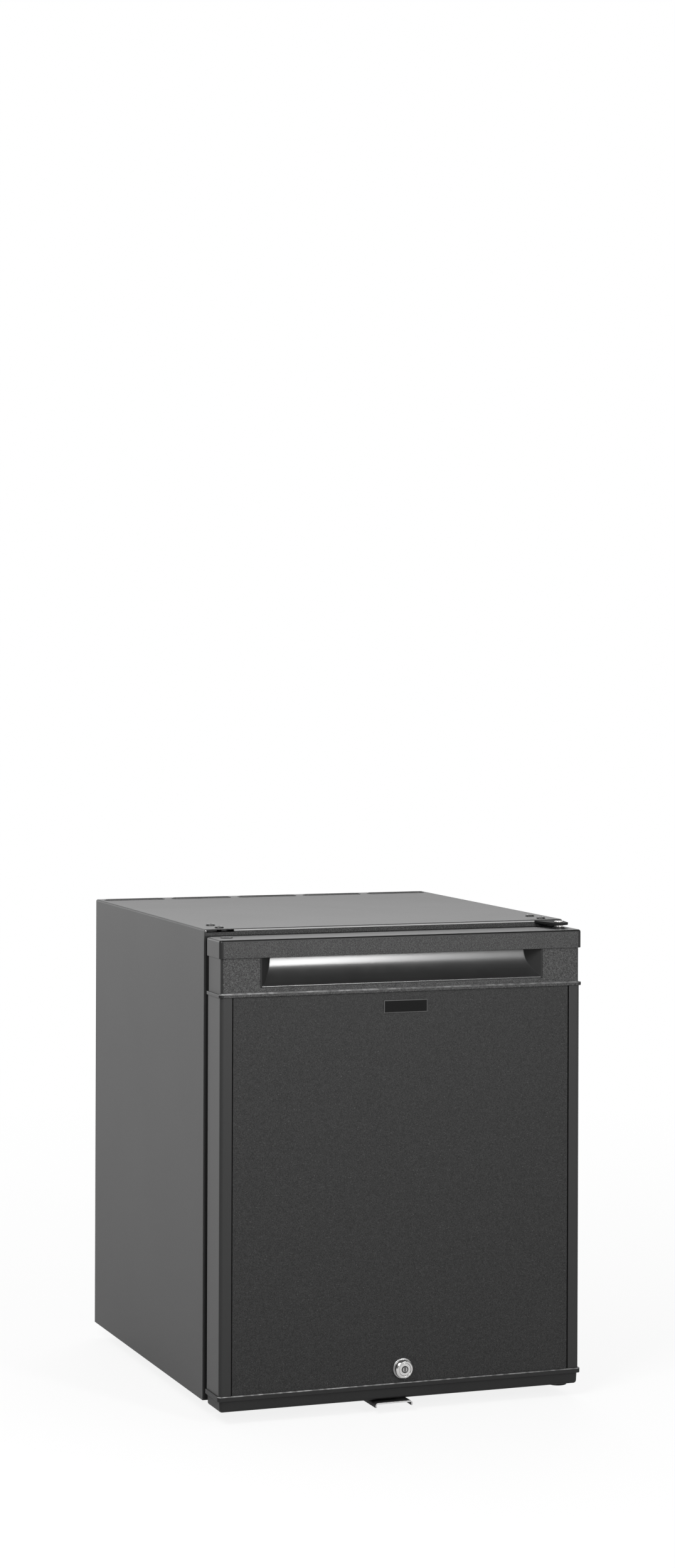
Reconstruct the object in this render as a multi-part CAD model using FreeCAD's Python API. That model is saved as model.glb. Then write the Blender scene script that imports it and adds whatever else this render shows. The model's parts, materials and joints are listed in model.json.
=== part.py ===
"""Hotel minibar: an absorption refrigerator with a right-hung door and a cam lock.

Millimetres. The front faces -Y, +X is to the right, +Z is up, and the origin is on the floor
under the middle of the object's box.
"""
import FreeCAD
import Part
import math
import os

# Cabinet
cabinet_width = 402.0
cabinet_height = 483.0
cabinet_depth = 401.0
foot_height = 17.0
sheet = 1.0
overrun = 1.0
sheet_setback = 1.0
fold_radius = 2.0
rear_return = 14.0
base_flange = 15.0
side_wall = 34.0
top_wall = 36.0
floor_wall = 36.0
rear_wall = 38.0
unit_recess_depth = 92.0
frame_depth = 12.0
frame_lip_bevel = 2.5
frame_top_bevel = 0.8
liner_thickness = 1.5
liner_flange = 9.0
liner_corner_radius = 14.0
liner_rear_radius = 9.0

# Vents along the rear edge of the top
vent_length = 68.0
vent_width = 13.0
vent_pitch = 80.0
vent_edge_distance = 9.0
vent_side_margin = 6.5
vent_rim_width = 1.6
vent_rim_height = 0.7

# Feet
foot_top_diameter = 32.0
foot_sole_diameter = 26.0
foot_sole_height = 4.0
foot_side_inset = 52.0
foot_end_inset = 42.0
foot_screw_diameter = 5.0
foot_screw_head = 9.0
foot_screw_seat = 6.0

# Door shell
door_side_inset = 1.8
door_top_drop = 7.0
door_thickness = 41.0
door_drop = 2.6
gasket_gap = 8.0
door_edge_radius = 3.5
profile_face = 12.6
profile_wall = 2.0
profile_lip = 2.5
profile_flange = 1.5
groove_width = 1.0
panel_setback = 0.3
panel_thickness = 2.4
panel_backing = 1.0
panel_tongue = 5.0
fit_gap = 0.2

# Moulded top cap with its scooped grip
top_cap_height = 58.6
band_height = 19.0
band_proud = 1.3
band_edge_radius = 2.5
cap_setback = 0.6
bead_height = 3.6
bead_proud = 1.7
grip_side_inset = 44.2
grip_height = 29.0
grip_depth = 15.6
grip_end_draft = 13.4
grip_lip = 5.0
grip_rim = 1.5
cap_wall = 4.0
cap_core_gap = 3.0

# Moulded bottom cap
bottom_cap_height = 16.5
bottom_bead_height = 4.8
bottom_bead_proud = 1.6
bottom_inset_high = 0.7
bottom_inset_low = 1.2
bottom_edge_radius = 3.0
bottom_cap_wall = 2.5
bottom_cap_floor = 3.0

# Door lining, seal and racks
door_liner_thickness = 1.5
door_liner_inset = 2.5
dyke_depth = 10.0
dyke_side_inset = 48.0
dyke_end_inset = 52.0
dyke_radius = 8.0
dyke_bevel = 4.0
gasket_base_width = 14.0
gasket_base_depth = 3.0
gasket_head_width = 10.0
gasket_overlap = 2.0
gasket_clearance = 0.3
gasket_corner_radius = 6.0
rack_depth = 60.0
rack_height = 44.0
rack_wall = 2.4
rack_side_inset = 8.0
rack_corner_radius = 7.0
rack_window_height = 12.0
rack_window_count = 7
rack_window_gap = 10.0
lower_rack_rise = 22.0
upper_rack_rise = 205.0

# Hinges
pivot_side_inset = 14.0
pivot_setback = 24.0
pin_diameter = 6.0
pin_length = 13.0
pin_clearance = 0.05
bush_diameter = 12.0
bush_length = 16.0
bush_flange_diameter = 13.0
bush_flange = 0.8
hinge_plate = 2.5
hinge_arm_width = 20.0
hinge_root_width = 30.0
hinge_root_inset = 1.5
hinge_root_length = 52.0
hinge_drop = 1.0
hinge_gap = 0.3
hinge_boss_diameter = 10.0
pin_head_diameter = 9.0
pin_head = 1.2
plug_diameter = 12.8
plug_head = 0.9
plug_dimple = 7.0
screw_side_inset = 20.0
screw_first = 12.0
screw_pitch = 29.0
screw_diameter = 5.0
screw_head_diameter = 9.4
screw_head_height = 1.9

# Cam lock and its strike
lock_rise = 31.0
lock_projection = 7.0
lock_bezel_diameter = 19.0
lock_barrel_diameter = 16.0
lock_barrel_length = 20.0
lock_bezel_round = 1.4
lock_plug_diameter = 13.0
lock_plug_recess = 0.5
lock_core_diameter = 6.4
lock_core_rise = 0.35
keyway_width = 1.1
keyway_height = 5.0
keyway_depth = 4.0
lock_nut_span = 22.0
lock_nut_height = 4.0
cam_length = 36.5
cam_width = 12.0
cam_thickness = 2.0
cam_clearance = 1.0
tail_diameter = 7.0
cam_screw_head = 8.0
cam_screw_head_height = 2.5
strike_width = 41.0
strike_offset = 10.0
strike_drop = 2.4
strike_sheet = 1.5
strike_leg = 5.0
strike_reach = 2.0
strike_tail = 45.0
strike_screw_setback = 27.0
strike_screw_pitch = 20.0
strike_slot_margin = 2.0

# Inside the cabinet
rib_first = 118.0
rib_gutter_gap = 53.0
rib_height = 7.0
rib_reach = 7.0
rib_front_inset = 34.0
shelf_rim_diameter = 5.0
shelf_wire_diameter = 3.0
shelf_wire_count = 14
shelf_wire_sides = 6
shelf_corner_radius = 12.0
shelf_side_gap = 2.0
shelf_rack_gap = 14.0
evaporator_side_inset = 62.0
evaporator_height = 62.0
evaporator_plate = 4.0
evaporator_top_gap = 12.0
fin_depth = 24.0
fin_thickness = 2.4
fin_count = 15
gutter_depth = 40.0
gutter_height = 16.0
gutter_wall = 1.6
gutter_overhang = 12.0
gutter_drop = 10.0
drain_diameter = 12.0
drain_bore = 9.0
drain_reach = 14.0
control_width = 116.0
control_depth = 66.0
control_height = 30.0
control_radius = 6.0
control_setback = 34.0
lens_width = 52.0
lens_depth = 34.0
lens_drop = 4.0
lens_inset = 10.0
knob_diameter = 24.0
knob_height = 11.0
knob_grip = 5.0
knob_shaft_diameter = 6.0
knob_shaft_length = 9.0
knob_side_inset = 26.0
knob_gap = 0.4
knob_start_angle = 135.0

# Cooling unit in the open recess at the back
unit_tube_diameter = 14.0
tube_sides = 8
unit_side_clearance = 14.0
jacket_width = 68.0
jacket_depth = 62.0
jacket_condenser_gap = 111.0
jacket_radius = 10.0
jacket_floor_gap = 58.0
riser_diameter = 20.0
riser_bend_radius = 26.0
condenser_drop = 62.0
condenser_last_fin = 14.0
condenser_fin_pitch = 12.0
condenser_fin_size = 56.0
condenser_fin_thickness = 0.8
condenser_first_fin = 26.0
coil_top_gap = 70.0
coil_pitch = 36.0
coil_jacket_gap = 33.0
coil_return_gap = 79.0
coil_run_gap = 2.0
coil_first_rise = 112.0
vessel_diameter = 56.0
vessel_jacket_gap = 51.0
vessel_rise = 60.0
vessel_dome = 12.0
saddle_width = 18.0
saddle_inset = 40.0
return_side_inset = 22.0
return_fin_gap = 7.0
solution_tube_diameter = 9.0
solution_tube_rise = 28.0
port_inset = 28.0
heater_diameter = 15.0
heater_depth = 120.0
cover_side_inset = 82.0
cover_height = 84.0
cover_thickness = 2.0
cover_radius = 8.0
terminal_width = 84.0
terminal_depth = 58.0
terminal_height = 42.0
terminal_radius = 4.0
inlet_width = 29.0
inlet_height = 22.0
inlet_flange = 3.0
inlet_depth = 16.0
inlet_pin = 2.0
clip_width = 14.0
clip_thickness = 1.5

# Places worked out from the sizes
total_depth = lock_projection + door_thickness + gasket_gap + cabinet_depth
lock_face_y = -total_depth / 2
door_front_y = lock_face_y + lock_projection
door_rear_y = door_front_y + door_thickness
frame_front_y = door_rear_y + gasket_gap
cabinet_rear_y = frame_front_y + cabinet_depth
sheet_front_y = frame_front_y + sheet_setback
frame_rear_y = frame_front_y + frame_depth
back_panel_y = cabinet_rear_y - unit_recess_depth
cavity_rear_y = back_panel_y - rear_wall
cabinet_half = cabinet_width / 2
inner_half = cabinet_half - sheet
cavity_half = cabinet_half - side_wall
cabinet_bottom_z = foot_height
cabinet_top_z = foot_height + cabinet_height
ceiling_z = cabinet_top_z - sheet
floor_z = cabinet_bottom_z + sheet
cavity_bottom_z = cabinet_bottom_z + floor_wall
cavity_top_z = cabinet_top_z - top_wall
door_half = cabinet_half - door_side_inset
door_bottom_z = cabinet_bottom_z - door_drop
door_top_z = cabinet_top_z - door_top_drop
top_cap_z = door_top_z - top_cap_height
bottom_cap_z = door_bottom_z + bottom_cap_height
panel_front_y = door_front_y + panel_setback
panel_rear_y = panel_front_y + panel_thickness + panel_backing
door_liner_y = door_rear_y - door_liner_thickness
pivot_x = door_half - pivot_side_inset
pivot_y = door_front_y + pivot_setback
lock_z = door_bottom_z + lock_rise
barrel_end_y = door_front_y + lock_barrel_length
cam_y = barrel_end_y + cam_clearance
cam_end_y = cam_y + cam_thickness
hinge_top_z = ceiling_z
hinge_under_z = hinge_top_z - hinge_plate
grip_top_z = door_top_z - band_height
grip_bottom_z = grip_top_z - grip_height
grip_half = door_half - grip_side_inset
grip_roof_z = door_top_z - cap_wall
grip_face_y = door_front_y + cap_setback
grip_hook_y = grip_face_y + grip_lip
grip_back_y = grip_face_y + grip_depth
cap_hollow_y = grip_back_y + cap_core_gap
rack_rear_y = door_rear_y + dyke_depth
unit_y = back_panel_y + sheet + jacket_depth / 2


def vec(x, y, z):
    """Point or direction."""
    return FreeCAD.Vector(x, y, z)


def block(x, y, z):
    """Box from three (low, high) pairs."""
    return Part.makeBox(x[1] - x[0], y[1] - y[0], z[1] - z[0], vec(x[0], y[0], z[0]))


def rod(diameter, start, end):
    """Round bar from one point to another."""
    return Part.makeCylinder(diameter / 2, (end - start).Length, start, end - start)


def fuse(shapes):
    """One solid from several, without the seams between coplanar faces."""
    shapes = list(shapes)
    if len(shapes) == 1:
        return shapes[0]
    return shapes[0].multiFuse(shapes[1:]).removeSplitter()


def prism(points, travel):
    """Solid from a flat outline of points, moved along a vector."""
    outline = Part.makePolygon(points + [points[0]])
    return Part.Face(outline).extrude(travel)


def runs_along(edge, axis):
    """Whether a straight edge runs along a direction."""
    if not isinstance(edge.Curve, Part.Line):
        return False
    return abs(abs(edge.Curve.Direction.dot(axis)) - 1) < 1e-6


def round_along(shape, radius, axis, chosen=None):
    """Round the straight edges along an axis, all of them or those chosen by their middle point."""
    edges = []
    for edge in shape.Edges:
        if runs_along(edge, axis) and (chosen is None or chosen(edge.CenterOfMass)):
            edges.append(edge)
    return shape.makeFillet(radius, edges)


def round_chosen(shape, radius, chosen):
    """Round every edge whose middle point is chosen."""
    edges = [edge for edge in shape.Edges if chosen(edge.CenterOfMass)]
    return shape.makeFillet(radius, edges)


def bevel_chosen(shape, width, chosen):
    """Cut a slope along every edge whose middle point is chosen."""
    edges = [edge for edge in shape.Edges if chosen(edge.CenterOfMass)]
    return shape.makeChamfer(width, edges)


def near(a, b):
    """Whether two measures are the same place."""
    return abs(a - b) < 1e-3


X = vec(1, 0, 0)
Y = vec(0, 1, 0)
Z = vec(0, 0, 1)


def rounded_block(x, y, z, radius, axis):
    """Box with its four edges along one axis rounded."""
    return round_along(block(x, y, z), radius, axis)


def lathe(points, origin, axis, radial):
    """Turned solid from (radius, height) points along an axis."""
    outline = [origin + radial * point[0] + axis * point[1] for point in points]
    face = Part.Face(Part.makePolygon(outline + [outline[0]]))
    return face.revolve(origin, axis, 360)


def ring_points(centre, along, diameter, sides):
    """Corners of a regular outline about an axis."""
    across = X if near(abs(along.z), 1) else along.cross(Z).normalize()
    upward = across.cross(along)
    corners = []
    for index in range(sides):
        turn = (2 * index + 1) * math.pi / sides
        corners.append(centre + (across * math.cos(turn) + upward * math.sin(turn)) * (diameter / 2))
    return corners


def flat_sided_rod(diameter, start, end, sides):
    """Straight bar with a few flat sides in place of a round one."""
    return prism(ring_points(start, (end - start).normalize(), diameter, sides), end - start)


def bent_tube(points, diameter, bend_radius):
    """Tube, drawn solid and with a few flat sides: straight runs joined by turned bends of one radius."""
    pieces = []
    start = points[0]
    for before, corner, after in zip(points, points[1:], points[2:]):
        into = (before - corner).normalize()
        out = (after - corner).normalize()
        half_angle = math.acos(into.dot(out)) / 2
        setback = bend_radius / math.tan(half_angle)
        bend_start = corner + into * setback
        centre = corner + (into + out).normalize() * (bend_radius / math.sin(half_angle))
        ring = ring_points(bend_start, into, diameter, tube_sides)
        section = Part.Face(Part.makePolygon(ring + [ring[0]]))
        turn = 180 - math.degrees(2 * half_angle)
        pieces.append(flat_sided_rod(diameter, start, bend_start, tube_sides))
        pieces.append(section.revolve(centre, out.cross(into), turn))
        start = corner + out * setback
    pieces.append(flat_sided_rod(diameter, start, points[-1], tube_sides))
    return fuse(pieces)


def oblong(length, width, centre, height):
    """Upright slot-shaped solid with round ends, its length along X."""
    reach = (length - width) / 2
    body = block((centre.x - reach, centre.x + reach),
                 (centre.y - width / 2, centre.y + width / 2), (centre.z, centre.z + height))
    ends = [rod(width, centre + X * side, centre + X * side + Z * height) for side in (-reach, reach)]
    return fuse([body] + ends)


def vent_centres():
    """Middle points of the vents, on the outside of the top."""
    y = cabinet_rear_y - vent_edge_distance - vent_width / 2
    row = cabinet_width - 2 * vent_side_margin - vent_length
    count = int(row / vent_pitch) + 1
    first = -(count - 1) / 2 * vent_pitch
    return [vec(first + index * vent_pitch, y, cabinet_top_z) for index in range(count)]


def top_screw_places():
    """Where the four screws go through the top, on its outside."""
    x = cabinet_half - screw_side_inset
    rows = [frame_front_y + screw_first, frame_front_y + screw_first + screw_pitch]
    return [vec(side * x, y, cabinet_top_z) for side in (-1, 1) for y in rows]


def make_outer_wrapper():
    """Painted sheet folded over both sides and the top, turned in along its rear edge."""
    tall = (cabinet_bottom_z, cabinet_top_z)
    deep = (sheet_front_y, cabinet_rear_y)
    outside = round_along(block((-cabinet_half, cabinet_half), deep, tall), fold_radius, Y,
                          lambda middle: near(middle.z, cabinet_top_z))
    inside = round_along(
        block((-inner_half, inner_half), (sheet_front_y - sheet, cabinet_rear_y - sheet),
              (cabinet_bottom_z - sheet, ceiling_z)),
        fold_radius - sheet, Y, lambda middle: near(middle.z, ceiling_z))
    opening_half = inner_half - rear_return
    opening = block((-opening_half, opening_half), (cabinet_rear_y - 2 * sheet, cabinet_rear_y + sheet),
                    (cabinet_bottom_z - sheet, ceiling_z - rear_return))
    shell = outside.cut(inside).cut(opening)
    rim_length = vent_length + 2 * vent_rim_width
    rim_width = vent_width + 2 * vent_rim_width
    rims = [oblong(rim_length, rim_width, centre, vent_rim_height) for centre in vent_centres()]
    shell = fuse([shell] + rims)
    for centre in vent_centres():
        shell = shell.cut(oblong(vent_length, vent_width, centre - Z * 2 * sheet,
                                 2 * sheet + 2 * vent_rim_height))
    for place in top_screw_places():
        shell = shell.cut(rod(screw_diameter, place - Z * 2 * sheet, place + Z * sheet))
    return shell


def make_base_panel():
    """Bottom pan with its four edges turned up."""
    outside = block((-inner_half, inner_half), (frame_rear_y, cabinet_rear_y - sheet),
                    (cabinet_bottom_z, cabinet_bottom_z + base_flange))
    inside = block((-inner_half + sheet, inner_half - sheet),
                   (frame_rear_y + sheet, cabinet_rear_y - 2 * sheet),
                   (floor_z, cabinet_bottom_z + 2 * base_flange))
    pan = outside.cut(inside)
    for place in foot_places():
        pan = pan.cut(rod(foot_screw_diameter, place - Z * overrun, place + Z * 2 * sheet))
    for place in strike_screw_places() + hinge_screw_places():
        pan = pan.cut(rod(screw_diameter, place - Z * sheet, place + Z * 2 * sheet))
    return pan


def foot_places():
    """Tops of the four feet, on the underside of the base."""
    x = cabinet_half - foot_side_inset
    ends = (frame_front_y + foot_end_inset, cabinet_rear_y - foot_end_inset)
    return [vec(side * x, y, cabinet_bottom_z) for side in (-1, 1) for y in ends]


def make_feet():
    """Four rubber-soled feet, tapered towards the floor, each with a sunk screw seat."""
    feet = []
    for place in foot_places():
        floor = vec(place.x, place.y, 0)
        top_radius = foot_top_diameter / 2
        sole_radius = foot_sole_diameter / 2
        hole_radius = foot_screw_diameter / 2
        seat_radius = foot_screw_head / 2
        seat = foot_height - foot_screw_seat
        outline = [(hole_radius, seat), (seat_radius, seat), (seat_radius, 0), (sole_radius, 0),
                   (sole_radius, foot_sole_height), (top_radius, foot_height), (hole_radius, foot_height)]
        feet.append(lathe(outline, floor, Z, X))
    return Part.makeCompound(feet)


def make_foot_screws():
    """Screws that hold the feet to the base."""
    screws = []
    for place in foot_places():
        seat = place - Z * foot_screw_seat
        head = rod(foot_screw_head - 2 * fit_gap, seat - Z * screw_head_height, seat)
        shank = rod(foot_screw_diameter, seat - Z * screw_head_height / 2, place + Z * sheet)
        screws.append(fuse([head, shank]))
    return Part.makeCompound(screws)


def make_front_frame():
    """Plastic ring that closes the wall between the wrapper and the lining."""
    ring = block((-inner_half, inner_half), (frame_front_y, frame_rear_y), (cabinet_bottom_z, ceiling_z))
    ring = bevel_chosen(ring, frame_top_bevel, lambda middle: near(middle.y, frame_front_y))
    opening = rounded_block((-cavity_half, cavity_half), (frame_front_y - sheet, frame_rear_y + sheet),
                            (cavity_bottom_z, cavity_top_z), liner_corner_radius, Y)
    ring = ring.cut(opening)
    ring = bevel_chosen(ring, frame_lip_bevel, lambda middle: near(middle.y, frame_front_y)
                        and abs(middle.x) <= cavity_half and cavity_bottom_z <= middle.z <= cavity_top_z)
    notch_half = hinge_root_width + hinge_root_inset
    for side in (-1, 1):
        inner_x = side * (inner_half - notch_half)
        notch = block(sorted((inner_x, side * (inner_half - hinge_root_inset))),
                      (frame_front_y - sheet, frame_rear_y + sheet), (hinge_under_z, ceiling_z + sheet))
        ring = ring.cut(notch)
    return ring


def make_inner_liner():
    """Formed tray with rounded corners, a front flange and three pairs of shelf ribs."""
    cavity = cavity_solid(0)
    shell = cavity_solid(liner_thickness)
    flange_reach = liner_thickness + liner_flange
    flange = rounded_block((-cavity_half - flange_reach, cavity_half + flange_reach),
                           (frame_rear_y, frame_rear_y + liner_thickness),
                           (cavity_bottom_z - flange_reach, cavity_top_z + flange_reach),
                           liner_corner_radius + flange_reach, Y)
    ribs = [make_rib(side, level) for side in (-1, 1) for level in rib_levels()]
    return fuse([fuse([shell, flange]).cut(cavity)] + ribs).cut(drain_hole())


def cavity_solid(grow):
    """The cooled space, or the outside of its lining when grown by the wall."""
    space = rounded_block((-cavity_half - grow, cavity_half + grow), (frame_rear_y, cavity_rear_y + grow),
                          (cavity_bottom_z - grow, cavity_top_z + grow), liner_corner_radius + grow, Y)
    return round_chosen(space, liner_rear_radius + grow,
                        lambda middle: near(middle.y, cavity_rear_y + grow))


def rib_levels():
    """Tops of the three pairs of ribs: one over the floor, one under the gutter, one halfway."""
    low = cavity_bottom_z + rib_first
    high = gutter_z() - rib_gutter_gap
    return low, (low + high) / 2, high


def make_rib(side, z):
    """Ledge with a sloped underside along one wall of the lining, flat on top."""
    wall = side * (cavity_half + liner_thickness / 2)
    tip = side * (cavity_half - rib_reach)
    y = frame_rear_y + rib_front_inset
    outline = [vec(wall, y, z), vec(tip, y, z), vec(tip, y, z - rib_height / 2),
               vec(wall, y, z - rib_height - rib_reach / 2)]
    return prism(outline, Y * (cavity_rear_y + liner_thickness / 2 - liner_rear_radius - y))


def drain_hole():
    """Bore through the rear wall for the drain tube."""
    start, end = drain_ends()
    return rod(drain_diameter, start, end)


def drain_ends():
    """Front and rear ends of the drain tube's axis."""
    z = gutter_z() + gutter_wall + drain_diameter / 2
    return vec(0, cavity_rear_y, z), vec(0, back_panel_y + sheet + drain_reach, z)


def gutter_z():
    """Underside of the gutter."""
    return evaporator_bottom_z() - gutter_drop - gutter_height


def evaporator_bottom_z():
    """Underside of the evaporator."""
    return cavity_top_z - evaporator_top_gap - evaporator_height


def make_back_panel():
    """Sheet behind the insulation, with side flanges and holes for the cooling unit."""
    sheet_rear = back_panel_y + sheet
    flat = block((-inner_half, inner_half), (back_panel_y, sheet_rear), (floor_z, ceiling_z))
    flanges = [block(sorted((side * inner_half, side * (inner_half - sheet))),
                     (back_panel_y, sheet_rear + base_flange), (cabinet_bottom_z + base_flange, ceiling_z))
               for side in (-1, 1)]
    flat = fuse([flat] + flanges).cut(base_panel)
    return flat.cut(drain_hole())


def make_insulation(others):
    """Foam that fills the wall; every piece sunk in it leaves its own shape."""
    foam = block((-inner_half, inner_half), (frame_rear_y, back_panel_y), (floor_z, ceiling_z))
    foam = foam.cut(cavity_solid(liner_thickness))
    for other in others:
        foam = foam.cut(other)
    return foam.cut(drain_hole())


def make_upper_hinge_plate():
    """Flat plate under the top sheet that reaches over the door."""
    root_right = inner_half - hinge_root_inset
    root = block((root_right - hinge_root_width, root_right),
                 (frame_front_y, frame_front_y + hinge_root_length), (hinge_under_z, hinge_top_z))
    plate = fuse([root, hinge_arm(hinge_under_z, root_right)])
    return drill_hinge(plate, hinge_under_z, right_screws())


def hinge_arm(z, root_right):
    """Tapered arm from the root's front edge to a round end about the pivot."""
    pivot = vec(pivot_x, pivot_y, z)
    arm = hinge_arm_width / 2
    outline = [vec(root_right, frame_front_y, z), vec(root_right - hinge_root_width, frame_front_y, z),
               vec(pivot_x - arm, pivot_y, z), vec(pivot_x + arm, pivot_y, z)]
    return fuse([prism(outline, Z * hinge_plate), rod(hinge_arm_width, pivot, pivot + Z * hinge_plate)])


def right_screws():
    """The two top screws over the hinge."""
    return [place for place in top_screw_places() if place.x > 0]


def drill_hinge(plate, z, screws):
    """Cut the pin's hole and the screws' holes through a hinge plate."""
    pivot = vec(pivot_x, pivot_y, z)
    plate = plate.cut(rod(pin_diameter, pivot - Z * overrun, pivot + Z * 2 * hinge_plate))
    for place in screws:
        plate = plate.cut(rod(screw_diameter, place - Z * 2 * hinge_plate, place + Z * hinge_plate))
    return plate


def make_hinge_backing():
    """Plate under the two left screws, for a door hung on the other side."""
    root_right = inner_half - hinge_root_inset
    plate = block((-root_right, hinge_root_width - root_right),
                  (frame_rear_y, frame_front_y + hinge_root_length), (hinge_under_z, hinge_top_z))
    for place in top_screw_places():
        low = vec(place.x, place.y, hinge_under_z - sheet)
        plate = plate.cut(rod(screw_diameter, low, place))
    return plate


def make_upper_hinge_pin():
    """Riveted pin with a head over the plate and a shoulder above the door."""
    plate = vec(pivot_x, pivot_y, hinge_under_z)
    shoulder_low = vec(pivot_x, pivot_y, door_top_z + bush_flange + hinge_gap)
    pieces = [rod(pin_head_diameter, plate + Z * hinge_plate, plate + Z * (hinge_plate + pin_head)),
              rod(pin_diameter, shoulder_low - Z * pin_length, plate + Z * (hinge_plate + pin_head)),
              rod(hinge_boss_diameter, shoulder_low, plate)]
    return fuse(pieces)


def lower_arm_z():
    """Underside of the lower hinge's arm."""
    return door_bottom_z - bush_flange - hinge_drop - hinge_plate


def hinge_screw_places():
    """Where the lower hinge's screws enter the base, on its underside."""
    return [vec(place.x, place.y + frame_depth, cabinet_bottom_z) for place in right_screws()]


def make_lower_hinge_plate():
    """Cranked plate under the base, stepped down to pass under the door."""
    root_right = inner_half - hinge_root_inset
    root_left = root_right - hinge_root_width
    arm_z = lower_arm_z()
    root = block((root_left, root_right), (frame_front_y, frame_rear_y + hinge_root_length),
                 (cabinet_bottom_z - hinge_plate, cabinet_bottom_z))
    step = block((root_left, root_right), (frame_front_y, frame_front_y + hinge_plate),
                 (arm_z, cabinet_bottom_z))
    plate = fuse([root, step, hinge_arm(arm_z, root_right)])
    return drill_hinge(plate, arm_z, hinge_screw_places())


def make_lower_hinge_pin():
    """Pin that stands on the lower plate, with a shoulder under the door."""
    plate = vec(pivot_x, pivot_y, lower_arm_z())
    shoulder_high = vec(pivot_x, pivot_y, door_bottom_z - bush_flange - hinge_gap)
    pieces = [rod(pin_diameter, plate, shoulder_high + Z * pin_length),
              rod(hinge_boss_diameter, plate + Z * hinge_plate, shoulder_high)]
    return fuse(pieces)


def plain_screw(place, axis, length):
    """Plain screw; the head's seat is at the place and the axis points out of the head."""
    head_radius = screw_head_diameter / 2
    shank = screw_diameter / 2
    outline = [(0, -length), (shank, -length), (shank, 0), (head_radius, 0), (head_radius, screw_head_height),
               (0, screw_head_height)]
    return lathe(outline, place, axis, X)


def make_top_screws():
    """Four screws through the top into the hinge plate and its backing."""
    return Part.makeCompound([plain_screw(place, Z, sheet + hinge_plate) for place in top_screw_places()])


def make_lower_hinge_screws():
    """Two screws that hold the lower hinge to the base."""
    screws = [plain_screw(place - Z * hinge_plate, vec(0, 0, -1), hinge_plate + sheet)
              for place in hinge_screw_places()]
    return Part.makeCompound(screws)


def strike_screw_places():
    """Where the strike's two screws enter the base, on its underside."""
    y = frame_rear_y + strike_screw_setback
    half_pitch = strike_screw_pitch / 2
    return [vec(side * half_pitch - strike_offset, y, cabinet_bottom_z) for side in (-1, 1)]


def make_strike_plate():
    """Bent channel under the door: a stepped tongue with two turned-down edges and a slot for the cam."""
    top = door_bottom_z - strike_drop
    left = -strike_offset - strike_width / 2
    right = left + strike_width
    nose = door_front_y - strike_reach
    rise_y = frame_front_y + strike_sheet
    tongue = block((left, right), (nose, rise_y + strike_sheet), (top - strike_sheet, top))
    riser = block((left, right), (rise_y, rise_y + strike_sheet), (top - strike_sheet, cabinet_bottom_z))
    tail = block((left, right), (rise_y, frame_rear_y + strike_tail),
                 (cabinet_bottom_z - strike_sheet, cabinet_bottom_z))
    legs = [block((x, x + strike_sheet), (nose, rise_y), (top - strike_leg, top))
            for x in (left, right - strike_sheet)]
    channel = round_along(fuse([tongue] + legs), 2 * strike_sheet, Y, lambda middle: near(middle.z, top))
    strike = fuse([channel, riser, tail])
    slot_reach = cam_sweep(top) + strike_slot_margin
    slot = block((-slot_reach, cam_width / 2 + strike_slot_margin),
                 (cam_y - strike_slot_margin, cam_end_y + strike_slot_margin),
                 (top - 2 * strike_sheet, top + strike_sheet))
    strike = strike.cut(slot)
    for place in strike_screw_places():
        strike = strike.cut(rod(screw_diameter, place - Z * 2 * strike_sheet, place + Z * overrun))
    return strike


def cam_sweep(z):
    """How far left of its axis the turning cam reaches at a level below the axis."""
    reach = math.hypot(cam_length, cam_width / 2)
    return math.sqrt(max(reach ** 2 - (lock_z - z) ** 2, (cam_width / 2) ** 2))


def make_strike_screws():
    """Two screws that hold the strike to the base."""
    screws = [plain_screw(place - Z * strike_sheet, vec(0, 0, -1), strike_sheet + sheet)
              for place in strike_screw_places()]
    return Part.makeCompound(screws)


def door_slab(proud, z):
    """Slice of the door's outline with round front corners, grown beyond the side profiles."""
    slab = block((-door_half - proud, door_half + proud), (door_front_y - proud, door_rear_y), z)
    return round_along(slab, door_edge_radius, Z, lambda middle: not near(middle.y, door_rear_y))


def grip_outline(x):
    """Side view of the grip's hollow: a concave scoop from the lower lip up to the room behind the band."""
    front = door_front_y - band_proud - overrun
    radius = (grip_depth ** 2 + grip_height ** 2) / (2 * grip_depth)
    centre_y = grip_back_y - radius
    start = math.atan2(-grip_height, grip_face_y - centre_y)
    middle = vec(x, centre_y + radius * math.cos(start / 2), grip_top_z + radius * math.sin(start / 2))
    lip = vec(x, grip_face_y, grip_bottom_z)
    scoop_top = vec(x, grip_back_y, grip_top_z)
    corners = [scoop_top, vec(x, grip_back_y, grip_roof_z), vec(x, grip_hook_y, grip_roof_z),
               vec(x, grip_hook_y, grip_top_z), vec(x, front, grip_top_z), vec(x, front, grip_bottom_z), lip]
    edges = [Part.Arc(lip, middle, scoop_top).toShape()]
    edges += [Part.makeLine(*ends) for ends in zip(corners, corners[1:])]
    return Part.Face(Part.Wire(edges))


def make_grip_space():
    """The hollow of the grip, with end walls that lean in towards the back."""
    slope = grip_end_draft / grip_depth
    front = door_front_y - 2 * band_proud
    back = grip_face_y + 2 * grip_depth
    wide = grip_half + slope * (grip_face_y - front)
    narrow = grip_half - slope * (back - grip_face_y)
    low = grip_bottom_z - overrun
    plan = prism([vec(-wide, front, low), vec(wide, front, low), vec(narrow, back, low),
                  vec(-narrow, back, low)], Z * (door_top_z - low))
    return grip_outline(-wide).extrude(X * 2 * wide).common(plan)


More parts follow.
